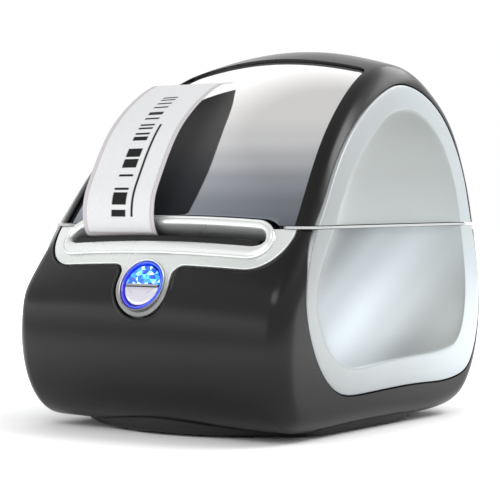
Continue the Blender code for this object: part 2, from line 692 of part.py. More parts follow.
# ---------------------------------------------------------------- cover hinge
def build_hinge():
    for name, sign in (("left", -1), ("right", 1)):
        x = sign * HINGE_X
        eye = circle(HINGE_EYE_R, (HINGE_Y, HINGE_Z), 12, 0, 180)
        bracket = eye + [(HINGE_Y - HINGE_EYE_R, 62.0), (HINGE_Y + 5.8, 58.0), (HINGE_Y + 5.8, 73.0),
                         (HINGE_Y + HINGE_EYE_R, 76.0)]
        body = make("hinge_bracket_" + name, slab(bracket, x - 2.5, x + 2.5), "dark_plastic")
        hole = turned(((x - 8, HINGE_PIN_R + 0.1), (x + 8, HINGE_PIN_R + 0.1)), (HINGE_Y, HINGE_Z), 20)
        combine(body, cutter(hole))
        leaf = circle(HINGE_EYE_R, (HINGE_Y, HINGE_Z), 14, 100, 250)
        leaf += [(HINGE_Y + 3.0, HINGE_Z + 2.0), (HINGE_Y + 0.4, HINGE_Z + 16.0), (HINGE_Y - 2.0, HINGE_Z + 16.0)]
        parts = make("hinge_leaf_" + name, slab(leaf, x - 7.0, x + 7.0), "dark_plastic")
        combine(parts, cutter(turned(((x - 9, HINGE_PIN_R + 0.1), (x + 9, HINGE_PIN_R + 0.1)),
                                     (HINGE_Y, HINGE_Z), 20)))
        gap = box_mesh((x - 2.8, HINGE_Y - 12, HINGE_Z - 12), (x + 2.8, HINGE_Y + 12, HINGE_Z + 3.6))
        combine(parts, cutter(gap))
    reach = HINGE_X + 7.4
    pin = turned(((-reach, HINGE_PIN_R), (reach, HINGE_PIN_R)), (HINGE_Y, HINGE_Z), 20)
    make("hinge_pin", pin, "steel", (0, HINGE_Y, HINGE_Z))


# ---------------------------------------------------------------- spool in the cover
def build_spool():
    left = LABEL_LEFT - 0.6
    right = LABEL_RIGHT + 0.6
    y, z = SPOOL
    centre = (0, y, z)
    spindle = [(-51.5, JOURNAL_R), (-47.0, JOURNAL_R), (-47.0, 7.0), (left - 2.0, 7.0), (left - 2.0, FLANGE_R),
               (left, FLANGE_R), (left, SPINDLE_R), (44.0, SPINDLE_R), (47.0, 6.0), (47.0, JOURNAL_R),
               (51.5, JOURNAL_R)]
    make("spool_spindle", turned(spindle, SPOOL, 28), "dark_plastic", centre)
    core = [(LABEL_LEFT, SPINDLE_R + CLEAR), (LABEL_LEFT, CORE_R - 0.15), (LABEL_RIGHT, CORE_R - 0.15),
            (LABEL_RIGHT, SPINDLE_R + CLEAR)]
    make("roll_core", turned(core, SPOOL, 28, True), "card", centre)
    roll = [(LABEL_LEFT, CORE_R + 0.15), (LABEL_LEFT, ROLL_R), (LABEL_RIGHT, ROLL_R), (LABEL_RIGHT, CORE_R + 0.15)]
    make("label_roll", turned(roll, SPOOL, 44, True), "paper", centre)
    ring = [(right, SPINDLE_R + 0.15), (right, FLANGE_R), (right + 2.0, FLANGE_R), (right + 2.6, 13.0),
            (right + 9.0, 12.0), (right + 9.0, SPINDLE_R + 0.15)]
    make("locking_ring", turned(ring, SPOOL, 28, True), "dark_plastic", centre)
    for name, sign in (("left", -1), ("right", 1)):
        low, high = z - 8.5, z + 17.0
        outline = [(y - 10, low), (y + 9, low), (y + 9, high), (y - 10, high), (y - 10, z + 4.15)]
        outline += circle(JOURNAL_R + 0.15, SPOOL, 8, 90, -180)
        outline += [(y - 10, z - 4.15)]
        inner = sign * CRADLE_X
        plate = make("spool_cradle_" + name, slab(outline, inner, inner + sign * 3.0), "dark_plastic")
        tab = box_mesh((min(inner + sign * 2, inner + sign * 4.4), y - 8, z + 7),
                       (max(inner + sign * 2, inner + sign * 4.4), y + 8, z + 11))
        combine(plate, cutter(tab), "UNION")


# ---------------------------------------------------------------- feed mechanism
def step_from(place, distance, degrees):
    return (place[0] + distance * math.cos(math.radians(degrees)),
            place[1] + distance * math.sin(math.radians(degrees)))


IDLER = step_from(PLATEN, MODULE * (PLATEN_TEETH + IDLER_TEETH) / 2 + GEAR_SLACK, IDLER_ANGLE)
PINION = step_from(IDLER, MODULE * (IDLER_TEETH + PINION_TEETH) / 2 + GEAR_SLACK, PINION_ANGLE)


def across_of(y, z, x):
    """A map that stands a flat outline up in the side view."""
    return Vector((x, y, z))


def gear_mesh(teeth, place, bore, phase, low, high):
    """A spur gear; `phase` is the direction in degrees of the middle of one tooth."""
    pitch = MODULE * teeth / 2
    tip, root = pitch + 0.72 * MODULE, pitch - 1.05 * MODULE
    share = 360 / teeth
    outline = []
    for k in range(teeth):
        middle = phase + share * k
        for radius, offset in ((root, -0.27), (tip, -0.10), (tip, 0.10), (root, 0.27)):
            turn = math.radians(middle + share * offset)
            outline.append((place[0] + radius * math.cos(turn), place[1] + radius * math.sin(turn)))
    hub = circle(bore, place, 12)
    return plate_on(across_of, outline, low, high, ((), ()), (hub,))


def gear_phases():
    """Phases that set a tooth of each gear in a gap of the one that drives it."""
    platen_phase = IDLER_ANGLE
    idler_phase = IDLER_ANGLE + 180 + 180 / IDLER_TEETH
    ahead = (PINION_ANGLE - idler_phase) % (360 / IDLER_TEETH)
    tooth = ahead / (360 / IDLER_TEETH)
    pinion_phase = PINION_ANGLE + 180 + (tooth + 0.5) * 360 / PINION_TEETH
    return platen_phase, idler_phase, pinion_phase


def build_drive():
    platen_phase, idler_phase, pinion_phase = gear_phases()
    low, high = GEAR_X, GEAR_X + GEAR_WIDE
    axis = (0, *PLATEN)
    shaft = ((-PLATE_X - 3.0, SHAFT_R), (high + 0.6, SHAFT_R))
    make("platen_shaft", turned(shaft, PLATEN, 20), "steel", axis)
    sleeve = ((-PLATEN_HALF, SHAFT_R + 0.2), (-PLATEN_HALF, PLATEN_R), (PLATEN_HALF, PLATEN_R),
              (PLATEN_HALF, SHAFT_R + 0.2))
    make("platen_roller", turned(sleeve, PLATEN, 28, True), "rubber", axis)
    make("platen_gear", gear_mesh(PLATEN_TEETH, PLATEN, SHAFT_R + 0.2, platen_phase, low, high),
         "white_plastic", axis)
    make("idler_gear", gear_mesh(IDLER_TEETH, IDLER, 2.1, idler_phase, low, high), "white_plastic",
         (0, *IDLER))
    stud = ((PLATE_X + PLATE_THICK + CLEAR, 3.2), (low - 0.2, 3.2), (low - 0.2, 2.0), (high + 0.8, 2.0))
    make("idler_stud", turned(stud, IDLER, 16), "steel")
    pinion = make("motor_pinion", gear_mesh(PINION_TEETH, PINION, 1.0, pinion_phase, low, high), "steel",
                  (0, *PINION))
    axle = turned(((PLATE_X - 3.0, 1.2), (high + 0.5, 1.2)), PINION, 16)
    combine(pinion, cutter(axle), "UNION")
    face = PLATE_X - CLEAR
    can = ((face - MOTOR_LONG, MOTOR_R - 1), (face - MOTOR_LONG + 1, MOTOR_R), (face - 1.2, MOTOR_R),
           (face, MOTOR_R - 1), (face, 1.6), (face - 4.0, 1.6))
    make("stepper_motor", turned(can, PINION, 32), "steel")
    for name, sign in (("left", -1), ("right", 1)):
        inner = sign * (PLATE_X - 1.2)
        flange = sign * (PLATE_X - 0.2)
        outer = sign * (PLATE_X + PLATE_THICK + 0.4)
        bush = ((inner, SHAFT_R + 0.05), (inner, 5.2), (flange, 5.2), (flange, 4.2), (outer, 4.2),
                (outer, SHAFT_R + 0.05))
        make("platen_bushing_" + name, turned(bush, PLATEN, 18, True), "white_plastic")


def build_frame():
    outline = [(-54.0, 58.0), (-54.0, 72.0), (-47.0, 82.0), (-37.5, 90.0), (-28.0, 92.5), (-14.0, 84.0),
               (-4.0, 60.0), (8.0, 40.0), (8.0, 4.4), (-34.0, 4.4), (-44.0, 40.0)]
    for name, sign in (("left", -1), ("right", 1)):
        low, high = sorted((sign * PLATE_X, sign * (PLATE_X + PLATE_THICK)))
        plate = make("frame_plate_" + name, slab(outline, low, high), "steel")
        for place, radius in ((PLATEN, 4.3), (HEAD_PIVOT, 2.2)):
            combine(plate, cutter(turned(((low - 3, radius), (high + 3, radius)), place, 24)))
        if sign > 0:
            combine(plate, cutter(turned(((low - 3, 6.5), (high + 3, 6.5)), PINION, 24)))
    half = PLATE_X - CLEAR
    bar = [(-37.0, 87.4), (-28.6, 87.4), (-28.6, 91.0), (-30.0, 91.0), (-30.0, 88.8), (-37.0, 88.8)]
    make("frame_crossbar", slab(bar, -half, half), "steel")
    tray = [(-35.6, 71.9), (-16.0, 71.9), (-6.0, 66.0), (-7.0, 64.4), (-16.6, 69.9), (-28.0, 69.9), (-35.6, 68.0)]
    deck = make("feed_tray", slab(tray, -half, half), "dark_plastic")
    combine(deck, cutter(box_mesh((-5.5, -24.5, 60), (40.5, -20.5, 80))))
    make("head_pivot_shaft", turned(((-PLATE_X - 3, 2.0), (PLATE_X + 3, 2.0)), HEAD_PIVOT, 16), "steel")


def build_head():
    pivot = (0, *HEAD_PIVOT)
    y, z = HEAD_PIVOT
    arm = circle(4.0, HEAD_PIVOT, 12, 150, -240)
    arm += [(y - 10, z - 2.6), (-38.0, 75.2), (-52.0, 75.2), (-52.0, 77.4), (-40.0, 77.4), (-38.0, 82.0),
            (y - 8.0, z + 3.0)]
    sink = make("head_bracket", slab(arm, -HEAD_HALF, HEAD_HALF), "steel", pivot)
    combine(sink, cutter(turned(((-60, 2.15), (60, 2.15)), HEAD_PIVOT, 16)))
    combine(sink, cutter(box_mesh((-HEAD_HALF + 7, y - 6.2, z - 6), (HEAD_HALF - 7, y + 6, z + 6))))
    make("print_head", slab([(-51.0, 73.15), (-37.5, 73.15), (-37.5, 74.9), (-51.0, 74.9)],
                            -HEAD_HALF, HEAD_HALF), "white_plastic", pivot)
    coil = []
    turns, per_turn = 3, 10
    low, high = 83.75, 86.7
    for k in range(turns * per_turn + 1):
        turn = 2 * math.pi * k / per_turn
        middle = Vector((2.8 * math.cos(turn), y - 11.6 + 2.8 * math.sin(turn),
                         low + (high - low) * k / (turns * per_turn)))
        out = Vector((math.cos(turn), math.sin(turn), 0))
        coil.append([middle + 0.45 * (out * math.cos(a) + Vector((0, 0, 1)) * math.sin(a))
                     for a in (0.0, 1.2566, 2.5133, 3.7699, 5.0265)])
    make("head_spring", loft(coil), "steel")
    lever = circle(4.2, HEAD_PIVOT, 12, 180, 260)
    lever += [(y + 1.0, z + 12.0), (y - 3.0, z + 20.0), (y - 8.0, z + 19.5), (y - 7.5, z + 15.5), (y - 4.0, z + 8.0)]
    handle = make("release_lever", slab(lever, -46.5, -42.5), "white_plastic", pivot)
    combine(handle, cutter(turned(((-50, 2.1), (-40, 2.1)), HEAD_PIVOT, 16)))


def strip_sections(count):
    """Four corners of the strip at each station: it runs straight, then leans to the left."""
    path = open_curve(STRIP_PATH, count)
    step = math.dist(path[0], path[1])
    half = (LABEL_RIGHT - LABEL_LEFT) / 2
    last = count - 1
    centre = (LABEL_LEFT + LABEL_RIGHT) / 2
    sections = []
    for k, (y, z) in enumerate(path):
        before = Vector((0, *path[max(k - 1, 0)]))
        after = Vector((0, *path[min(k + 1, last)]))
        along = (after - before).normalized()
        free = max(0.0, k / last - STRIP_FREE) / (1 - STRIP_FREE)
        turn = math.radians(STRIP_LEAN) * free ** 2
        centre -= math.sin(turn) * step
        edge = (Vector((math.cos(turn), 0, 0)) + along * math.sin(turn)) * half
        side = Vector((0, -along.z, along.y)) * STRIP_THICK / 2
        middle = Vector((centre, y, z))
        sections.append([middle - edge + side, middle + edge + side, middle + edge - side, middle - edge - side])
    return sections


def build_label_path():
    rings = strip_sections(STRIP_STATIONS)
    make("label_strip", loft(rings), "paper")
    fin = [(-33.0, 72.3), (-15.5, 72.3), (-15.5, 78.0), (-18.0, 83.0 - 8.0), (-30.0, 75.0), (-33.0, 74.0)]
    low = LABEL_RIGHT + 0.5
    guide = make("label_guide", slab(fin, low, low + 1.5), "dark_plastic")
    combine(guide, cutter(box_mesh((low, -24.2, 66.5), (low + 6.0, -20.8, 73.0))), "UNION")
    make("label_sensor", box_mesh((-24.0, -33.5, 63.0), (-14.0, -29.0, 67.6)), "dark_plastic")


# ---------------------------------------------------------------- electronics
PORTS = [(-22.0, 13.0, 14.2, 27.0), (4.0, 13.5, 14.2, 26.5)]    # x, width, low, high
BOARD_Z = 12.6


def build_electronics():
    board = make("main_board", box_mesh((-44, 8, BOARD_Z), (44, 62, BOARD_Z + 1.6)), "board")
    chips = ((-20, 24, 14, 14, 1.6), (8, 22, 10, 16, 1.4), (30, 34, 12, 12, 8.0), (-36, 44, 8, 8, 11.0))
    for x, y, wide, deep, tall in chips:
        low = (x - wide / 2, y - deep / 2, BOARD_Z + 1)
        high = (x + wide / 2, y + deep / 2, BOARD_Z + 1.6 + tall)
        combine(board, cutter(box_mesh(low, high)), "UNION")
    bottom = BOARD_Z + 1.6 + CLEAR
    power = make("power_jack", box_mesh((-28.0, 54.0, bottom), (-16.0, 70.0, bottom + 11.0)), "dark_plastic")
    hole = loft([[(-22 + 3.2 * math.cos(2 * math.pi * k / 20), y, bottom + 5.5 + 3.2 * math.sin(2 * math.pi * k / 20))
                  for k in range(20)] for y in (58.0, 72.0)])
    combine(power, cutter(hole))
    usb = make("usb_socket", box_mesh((-2.0, 54.0, bottom), (10.0, 70.0, bottom + 10.6)), "steel")
    combine(usb, cutter(box_mesh((-0.2, 58.0, bottom + 1.6), (8.2, 72.0, bottom + 9.2))))


def main():
    for old in list(bpy.data.objects):
        bpy.data.objects.remove(old)
    lower, upper = build_casing()
    finish_lower(lower)
    finish_cover(upper)
    build_foot()
    build_front()
    build_panels()
    build_hinge()
    build_spool()
    build_frame()
    build_drive()
    build_head()
    build_label_path()
    build_electronics()
    for name in ("lower_housing", "cover_shell", "cover_window", "front_bezel", "exit_slot_rim",
                 "side_panel_lower_left", "side_panel_lower_right", "motor_pinion"):
        merge_flat(bpy.data.objects[name])


BUTTON_FRAME = button_frame()
main()
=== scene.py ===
"""Looks of a desktop thermal label printer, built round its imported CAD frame.

Sizes are in millimetres and scaled to metres as each piece is made, in the frame of the
CAD: +X right, +Y back, +Z up, origin on the floor.
"""

import json
import math

import bmesh
import bpy
import numpy as np
from mathutils import Matrix, Vector
from mathutils.bvhtree import BVHTree


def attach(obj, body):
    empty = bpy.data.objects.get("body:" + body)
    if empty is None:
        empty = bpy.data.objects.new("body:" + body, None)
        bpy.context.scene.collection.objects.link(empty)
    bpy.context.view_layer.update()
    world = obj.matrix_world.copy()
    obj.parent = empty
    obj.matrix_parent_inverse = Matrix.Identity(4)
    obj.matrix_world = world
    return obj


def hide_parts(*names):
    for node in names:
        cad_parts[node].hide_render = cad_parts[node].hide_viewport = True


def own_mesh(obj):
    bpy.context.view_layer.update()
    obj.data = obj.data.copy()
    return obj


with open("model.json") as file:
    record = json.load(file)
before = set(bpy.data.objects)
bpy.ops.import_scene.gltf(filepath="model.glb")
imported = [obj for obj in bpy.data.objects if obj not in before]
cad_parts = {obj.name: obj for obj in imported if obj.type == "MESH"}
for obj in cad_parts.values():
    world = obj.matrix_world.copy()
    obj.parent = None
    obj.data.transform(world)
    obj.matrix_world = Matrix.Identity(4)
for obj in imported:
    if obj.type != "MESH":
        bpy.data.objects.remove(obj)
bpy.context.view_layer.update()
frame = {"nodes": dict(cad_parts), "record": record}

MM = 0.001

# ---------------------------------------------------------------- the casing's dimensions
HALF_WIDTH = 63.5          # half the width at the widest height
WIDEST_Z = 48.0
BARREL = 0.00165           # how fast the sides draw in above and below that height
EDGE_RADIUS = 7.5          # rounding between the skin and the flat sides
CROWN = 3.0                # how far the skin bulges in the middle of a vertical stretch
CROWN_TOP = 5.5            # and how much more where it faces up
CROWN_UNDER = 2.6          # and how much less where it faces down
LOWER_WALL = 2.4
COVER_WALL = 3.4           # thicker, for the window's rebate
SIDE_WALL = 5.9
SEAM_Z = 78.4
SEAM_GAP = 1.2
LOWER_TOP = SEAM_Z - SEAM_GAP / 2
COVER_FOOT = SEAM_Z + SEAM_GAP / 2
CLEAR = 0.3                # gap left between neighbouring pieces
SIDE_VIEW = [
    (-59.8, 78.4), (-45.3, 97.9), (-31.0, 114.9), (-15.0, 129.0), (1.7, 140.0),
    (17.7, 147.1), (32.9, 149.5), (45.8, 146.2), (55.3, 139.5), (62.9, 131.2),
    (68.7, 120.4), (72.5, 104.8), (74.5, 91.0), (75.6, 78.4), (77.6, 65.0),
    (79.0, 49.0), (78.2, 32.0), (73.8, 17.0), (65.0, 7.0), (50.0, 3.0),
    (25.0, 2.5), (-25.0, 2.5), (-54.0, 2.8), (-65.0, 5.4), (-73.6, 13.7),
    (-77.8, 25.0), (-78.6, 36.8), (-77.8, 45.6), (-75.8, 54.9), (-70.6, 64.4),
]
PANEL_VIEW = [
    (-50.2, 78.4), (-44.5, 85.5), (-33.3, 99.7), (-17.9, 114.0), (-0.8, 124.8),
    (13.2, 130.9), (26.1, 134.0), (38.0, 132.8), (46.3, 129.4), (52.8, 124.4),
    (58.0, 117.3), (61.9, 107.6), (64.5, 95.0), (66.2, 78.4), (68.8, 66.0),
    (70.2, 52.2), (69.7, 40.0), (67.0, 27.0), (62.4, 19.5), (54.0, 16.4),
    (25.0, 15.7), (-20.0, 15.2), (-35.0, 16.6), (-45.9, 23.0), (-53.5, 32.0),
    (-58.4, 42.2), (-60.2, 52.6), (-59.2, 60.6), (-56.0, 69.6),
]
DISH_VIEW = [
    (-39.2, 78.4), (-34.6, 85.0), (-25.4, 96.0), (-13.4, 107.2), (0.0, 115.8),
    (11.0, 121.6), (25.0, 124.6), (35.0, 123.6), (41.8, 120.4), (47.2, 115.8),
    (51.4, 109.0), (54.4, 100.0), (56.2, 90.0), (56.8, 78.4), (57.8, 66.0),
    (58.4, 54.5), (57.6, 44.0), (55.4, 36.0), (51.2, 30.6), (44.5, 28.4),
    (20.0, 27.0), (-14.0, 25.6), (-31.0, 25.8), (-40.6, 29.6), (-47.4, 36.0),
    (-52.0, 43.6), (-53.8, 51.0), (-52.4, 58.6), (-46.6, 69.0),
]
BEZEL_HALF = 57.0          # front plate, as (across, down the skin from the seam)
BEZEL_TOP = -3.0
BEZEL_DROP = 17.5
BEZEL_CORNER = 16.0
BEZEL_THICK = 1.5
LOBE_S = 26.5              # middle of the round button, down the skin
LOBE_R = 12.2
LOBE_FILLET = 5.0
BUTTON_R = 8.0
RING_R = 9.5
HOLE_R = 10.1
SLOT_HALF = 46.5
SLOT_R = 5.0
SLOT_S = 4.5
NOTCH_GROW = 5.9           # how far the cover stays clear of the slot's centre line
WINDOW_HALF = 55.4
WINDOW_TAPER = 1.0
WINDOW_TOP = -100.5
WINDOW_THICK = 1.8
WINDOW_LEDGE = 1.8
WINDOW_SUNK = 1.3          # depth of the pane under the cover's skin
LIP_BROAD = 2.6            # how much broader the slot's lower lip is than its upper one
RAMP_DEEP = 0.6            # how much deeper the slot's rear wall runs
FOOT_TOP = 9.0
FOOT_FLOOR = 1.0
FOOT_HALF = 56.0
FOOT_FRONT = -66.0
FOOT_ARC_R = 71.0
FOOT_BACK = 33.0
FOOT_POINTS = {"front_left": (-42.0, -38.0), "front_right": (42.0, -38.0),
               "rear_left": (-42.0, 22.0), "rear_right": (42.0, 22.0)}
FOOT_SCREWS = {"front_left": (-30.0, -46.0), "front_right": (30.0, -46.0),
               "rear_left": (-30.0, 24.0), "rear_right": (30.0, 24.0)}
HINGE_Y = 67.0
HINGE_Z = 88.0
HINGE_X = 22.0
HINGE_SLOT = 3.1
HINGE_SLOT_TOP = 92.5
VENT_ROWS = 9
VENT_X = 26.0
VENT_LOW = 36.0
VENT_PITCH = 3.6
PORTS = [(-22.0, 13.0, 14.2, 27.0), (4.0, 13.5, 14.2, 26.5)]    # x, width, low, high
LABEL_LEFT = -38.5
LABEL_RIGHT = -3.8
STRIP_THICK = 0.3
STRIP_STATIONS = 120
STRIP_PATH = [
    (-26.0, 72.7), (-50.0, 72.7), (-58.0, 73.6), (-61.6, 76.6), (-63.0, 82.0),
    (-62.0, 90.0), (-57.2, 99.4), (-51.8, 108.2), (-45.4, 116.2), (-36.2, 123.8),
    (-25.4, 130.2), (-16.0, 134.0), (-8.6, 135.1),
]
PRINT_FROM_Z = 74.6        # height where the printed label begins
STRIP_FREE = 0.34          # share of the strip that runs straight
STRIP_LEAN = 7.0           # degrees that its end leans to the left
SPOOL = (14.0, 93.0)
ROLL_R = 33.0
CORE_R = 13.0


# ---------------------------------------------------------------- curves
def resample(dense, count):
    """`count` points at equal steps along a closed ring."""
    ring = np.vstack([dense, dense[:1]])
    along = np.concatenate([[0], np.cumsum(np.linalg.norm(np.diff(ring, axis=0), axis=1))])
    wanted = np.linspace(0, along[-1], count, endpoint=False)
    return np.stack([np.interp(wanted, along, ring[:, k]) for k in range(ring.shape[1])], 1)


def closed_curve(points, count):
    """`count` points at equal steps on a smooth closed curve through the given points."""
    knots = np.array(points, float)
    total = len(knots)
    after = np.roll(knots, -1, axis=0)
    step = np.linalg.norm(after - knots, axis=1)
    system = np.zeros((total, total))
    right = np.zeros((total, knots.shape[1]))
    for i in range(total):
        before = i - 1
        system[i, before] += step[before]
        system[i, i] += 2 * (step[before] + step[i])
        system[i, (i + 1) % total] += step[i]
        right[i] = 6 * ((after[i] - knots[i]) / step[i] - (knots[i] - knots[before]) / step[before])
    bend = np.linalg.solve(system, right)
    dense = []
    for i in range(total):
        bend_next = bend[(i + 1) % total]
        for u in np.linspace(0, 1, 40, endpoint=False):
            w = 1 - u
            curl = (w ** 3 - w) * bend[i] + (u ** 3 - u) * bend_next
            dense.append(w * knots[i] + u * after[i] + curl * step[i] ** 2 / 6)
    return resample(np.array(dense), count)


def open_curve(points, count):
    """`count` points on a smooth open curve through the given points."""
    knots = [Vector((p[0], p[1], 0)) for p in points]
    dense = []
    last = len(knots) - 1
    for i in range(last):
        before = knots[max(i - 1, 0)]
        after = knots[min(i + 2, last)]
        slope_a = (knots[i + 1] - before) / (2 if i else 1)
        slope_b = (after - knots[i]) / (2 if i < last - 1 else 1)
        for k in range(20):
            u = k / 20
            dense.append((2 * u ** 3 - 3 * u ** 2 + 1) * knots[i] + (u ** 3 - 2 * u ** 2 + u) * slope_a
                         + (3 * u ** 2 - 2 * u ** 3) * knots[i + 1] + (u ** 3 - u ** 2) * slope_b)
    dense.append(knots[-1])
    flat = np.array([(p.x, p.y) for p in dense])
    along = np.concatenate([[0], np.cumsum(np.linalg.norm(np.diff(flat, axis=0), axis=1))])
    wanted = np.linspace(0, along[-1], count)
    return [(float(np.interp(s, along, flat[:, 0])), float(np.interp(s, along, flat[:, 1])))
            for s in wanted]


def offset_ring(ring, amount):
    """A ring of flat points moved inwards by `amount`, whichever way it runs."""
    pts = np.array(ring, float)
    area = np.sum(pts[:, 0] * np.roll(pts[:, 1], -1) - np.roll(pts[:, 0], -1) * pts[:, 1])
    ahead = np.roll(pts, -1, axis=0) - np.roll(pts, 1, axis=0)
    ahead /= np.maximum(np.linalg.norm(ahead, axis=1), 1e-9)[:, None]
    inward = np.stack([-ahead[:, 1], ahead[:, 0]], 1) * (1 if area > 0 else -1)
    return pts + inward * amount


SKIN_SAMPLES = 2400
SKIN = closed_curve(SIDE_VIEW, 1200)
SKIN = resample(SKIN, SKIN_SAMPLES)
SKIN_STEP = float(np.linalg.norm(SKIN[1] - SKIN[0]))
SKIN_LENGTH = SKIN_STEP * SKIN_SAMPLES
TANGENT = np.roll(SKIN, -16, axis=0) - np.roll(SKIN, 16, axis=0)
TANGENT /= np.linalg.norm(TANGENT, axis=1)[:, None]
NORMAL = np.stack([-TANGENT[:, 1], TANGENT[:, 0]], 1)


def half_width(z):
    """Half the casing's width at height z."""
    return HALF_WIDTH - BARREL * (z - WIDEST_Z) ** 2


def skin_at(s):
    """Point (y, z) and outward normal of the side view, `s` down the skin from the seam."""
    place = (-s / SKIN_STEP) % SKIN_SAMPLES
    low = int(place) % SKIN_SAMPLES
    high = (low + 1) % SKIN_SAMPLES
    part = place - int(place)
    point = SKIN[low] * (1 - part) + SKIN[high] * part
    normal = NORMAL[low] * (1 - part) + NORMAL[high] * part
    return point, normal / np.linalg.norm(normal)


def inset(x, up):
    """How far the skin lies inside the side view at `x`, where its normal points `up`."""
    crown = CROWN + CROWN_TOP * max(0.0, up) ** 2 - CROWN_UNDER * max(0.0, -up) ** 2
    depth = crown * (x / HALF_WIDTH) ** 2
    over = min(abs(x) - (HALF_WIDTH - EDGE_RADIUS), EDGE_RADIUS)
    if over > 0:
        depth += EDGE_RADIUS - math.sqrt(EDGE_RADIUS ** 2 - over ** 2)
    return depth


def casing(x, s, h=0.0):
    """Point of the casing `x` across and `s` down the skin, `h` outside it."""
    point, normal = skin_at(s)
    y, z = point + normal * (h - inset(x, normal[1]))
    return Vector((x * half_width(z) / HALF_WIDTH, y, z))


def side_of(sign):
    """A map from (y, z, height above the flat side) to the side of the casing."""
    def place(y, z, h):
        return Vector((sign * (half_width(z) + h), y, z))
    return place


# ---------------------------------------------------------------- materials
# The tones of the window, side panels and front plate follow the place on the object. They stand
# in for what the studio of the photograph reflects in them, which these few lamps do not.
class Paint:
    """A Principled material under construction."""

    def __init__(self, name, colour, rough, metal=0.0):
        self.material = bpy.data.materials.new(name)
        self.material.use_nodes = True
        self.tree = self.material.node_tree
        self.shader = self.tree.nodes["Principled BSDF"]
        self.set("Base Color", (*colour, 1))
        self.set("Roughness", rough)
        self.set("Metallic", metal)
        self.where = self.tree.nodes.new("ShaderNodeTexCoord").outputs["Object"]

    def set(self, socket, value):
        self.shader.inputs[socket].default_value = value

    def put(self, socket, output):
        self.tree.links.new(output, self.shader.inputs[socket])

    def node(self, kind, **inputs):
        made = self.tree.nodes.new(kind)
        for key, value in inputs.items():
            target = made.inputs[int(key[1:]) if key[0] == "_" else key]
            if isinstance(value, bpy.types.NodeSocket):
                self.tree.links.new(value, target)
            else:
                target.default_value = value
        return made

    def math(self, operation, a, b=0.0, c=0.0):
        made = self.node("ShaderNodeMath", _0=a, _1=b, _2=c)
        made.operation = operation
        return made.outputs[0]

    def noise(self, scale, detail=2.0, rough=0.5, stretch=None):
        where = self.where
        if stretch:
            mapping = self.node("ShaderNodeMapping", Vector=where)
            mapping.inputs["Scale"].default_value = stretch
            where = mapping.outputs[0]
        made = self.node("ShaderNodeTexNoise", Vector=where, Scale=scale, Detail=detail, Roughness=rough)
        return made.outputs[0]

    def cells(self, scale):
        return self.node("ShaderNodeTexVoronoi", Vector=self.where, Scale=scale).outputs[0]

    def span(self, value, low, high, out_low, out_high):
        made = self.node("ShaderNodeMapRange", _0=value, _1=low, _2=high, _3=out_low, _4=out_high)
        return made.outputs[0]

    def ramp(self, value, stops):
        made = self.node("ShaderNodeValToRGB", Fac=value)
        made.color_ramp.interpolation = "EASE"
        elements = made.color_ramp.elements
        while len(elements) < len(stops):
            elements.new(0.5)
        for element, (at, colour) in zip(elements, stops):
            element.position = at
            element.color = (*colour, 1)
        return made.outputs[0]

    def mix(self, factor, a, b):
        made = self.tree.nodes.new("ShaderNodeMix")
        made.data_type = "RGBA"
        for key, value in ((0, factor), (6, a), (7, b)):
            if isinstance(value, bpy.types.NodeSocket):
                self.tree.links.new(value, made.inputs[key])
            else:
                made.inputs[key].default_value = (*value, 1) if key else value
        return made.outputs[2]

    def bump(self, height, distance):
        made = self.node("ShaderNodeBump", Height=height, Distance=distance, Strength=1.0)
        self.put("Normal", made.outputs[0])

    def axes(self):
        return self.node("ShaderNodeSeparateXYZ", _0=self.where).outputs


def colour(code):
    """Linear colour of an sRGB hex code."""
    parts = [int(code[k:k + 2], 16) / 255 for k in (0, 2, 4)]
    return tuple(p / 12.92 if p <= 0.04045 else ((p + 0.055) / 1.055) ** 2.4 for p in parts)


def moulded(name, base, rough, texture, depth, shine=0.5):
    """Injection moulded plastic: slight flow marks, a surface texture and uneven gloss."""
    paint = Paint(name, base, rough)
    flow = paint.noise(38.0, 3.0, 0.5, stretch=(1.0, 0.6, 2.2))
    dark = tuple(c * 0.86 for c in base)
    light = tuple(c * 1.12 for c in base)
    paint.put("Base Color", paint.mix(flow, dark, light))
    fine = paint.noise(texture, 2.0, 0.6)
    paint.put("Roughness", paint.span(flow, 0.3, 0.7, rough * 0.9, rough * 1.12))
    paint.bump(fine, depth)
    paint.set("Specular IOR Level", shine)
    return paint.material


def silver(name, base, rough, metal, flake, painted_light=None):
    """Metallic paint over plastic: fine flakes under a clear film, multiplied by a tone of painted light and shade
    if one is given.
    """
    paint = Paint(name, base, rough, metal)
    speck = paint.cells(5200.0)
    cloud = paint.noise(22.0, 2.0)
    low = tuple(c * (1 - flake) for c in base)
    high = tuple(min(1.0, c * (1 + flake)) for c in base)
    shade = paint.mix(paint.span(speck, 0.0, 0.9, 0.0, 1.0), high, low)
    if painted_light:
        shade = paint.mix(1.0, shade, painted_light(paint))
        shade.node.blend_type = "MULTIPLY"
    paint.put("Base Color", shade)
    paint.put("Roughness", paint.span(cloud, 0.3, 0.7, rough * 0.93, rough * 1.08))
    paint.bump(paint.noise(2600.0, 1.0), 0.000004)
    paint.set("Coat Weight", 0.25)
    paint.set("Coat Roughness", 0.12)
    return paint.material


def band_painted_light(paint):
    """Painted reflection on a side panel's flat band: lighter and cooler towards the back."""
    y = paint.axes()[1]
    return paint.ramp(paint.span(y, -0.06, 0.07, 0.0, 1.0),
                      [(0.0, (0.80, 0.81, 0.80)), (0.45, (0.92, 0.94, 0.94)), (1.0, (1.16, 1.22, 1.25))])


def lobe_painted_shade(paint):
    """Painted light and shade on the front plate: pale round the slot, darker down its lobe."""
    z = paint.axes()[2]
    return paint.ramp(paint.span(z, 0.044, 0.070, 0.0, 1.0),
                      [(0.0, (0.20, 0.20, 0.20)), (0.40, (0.36, 0.36, 0.36)), (0.80, (0.90, 0.91, 0.90)),
                       (1.0, (1.0, 1.0, 1.0))])


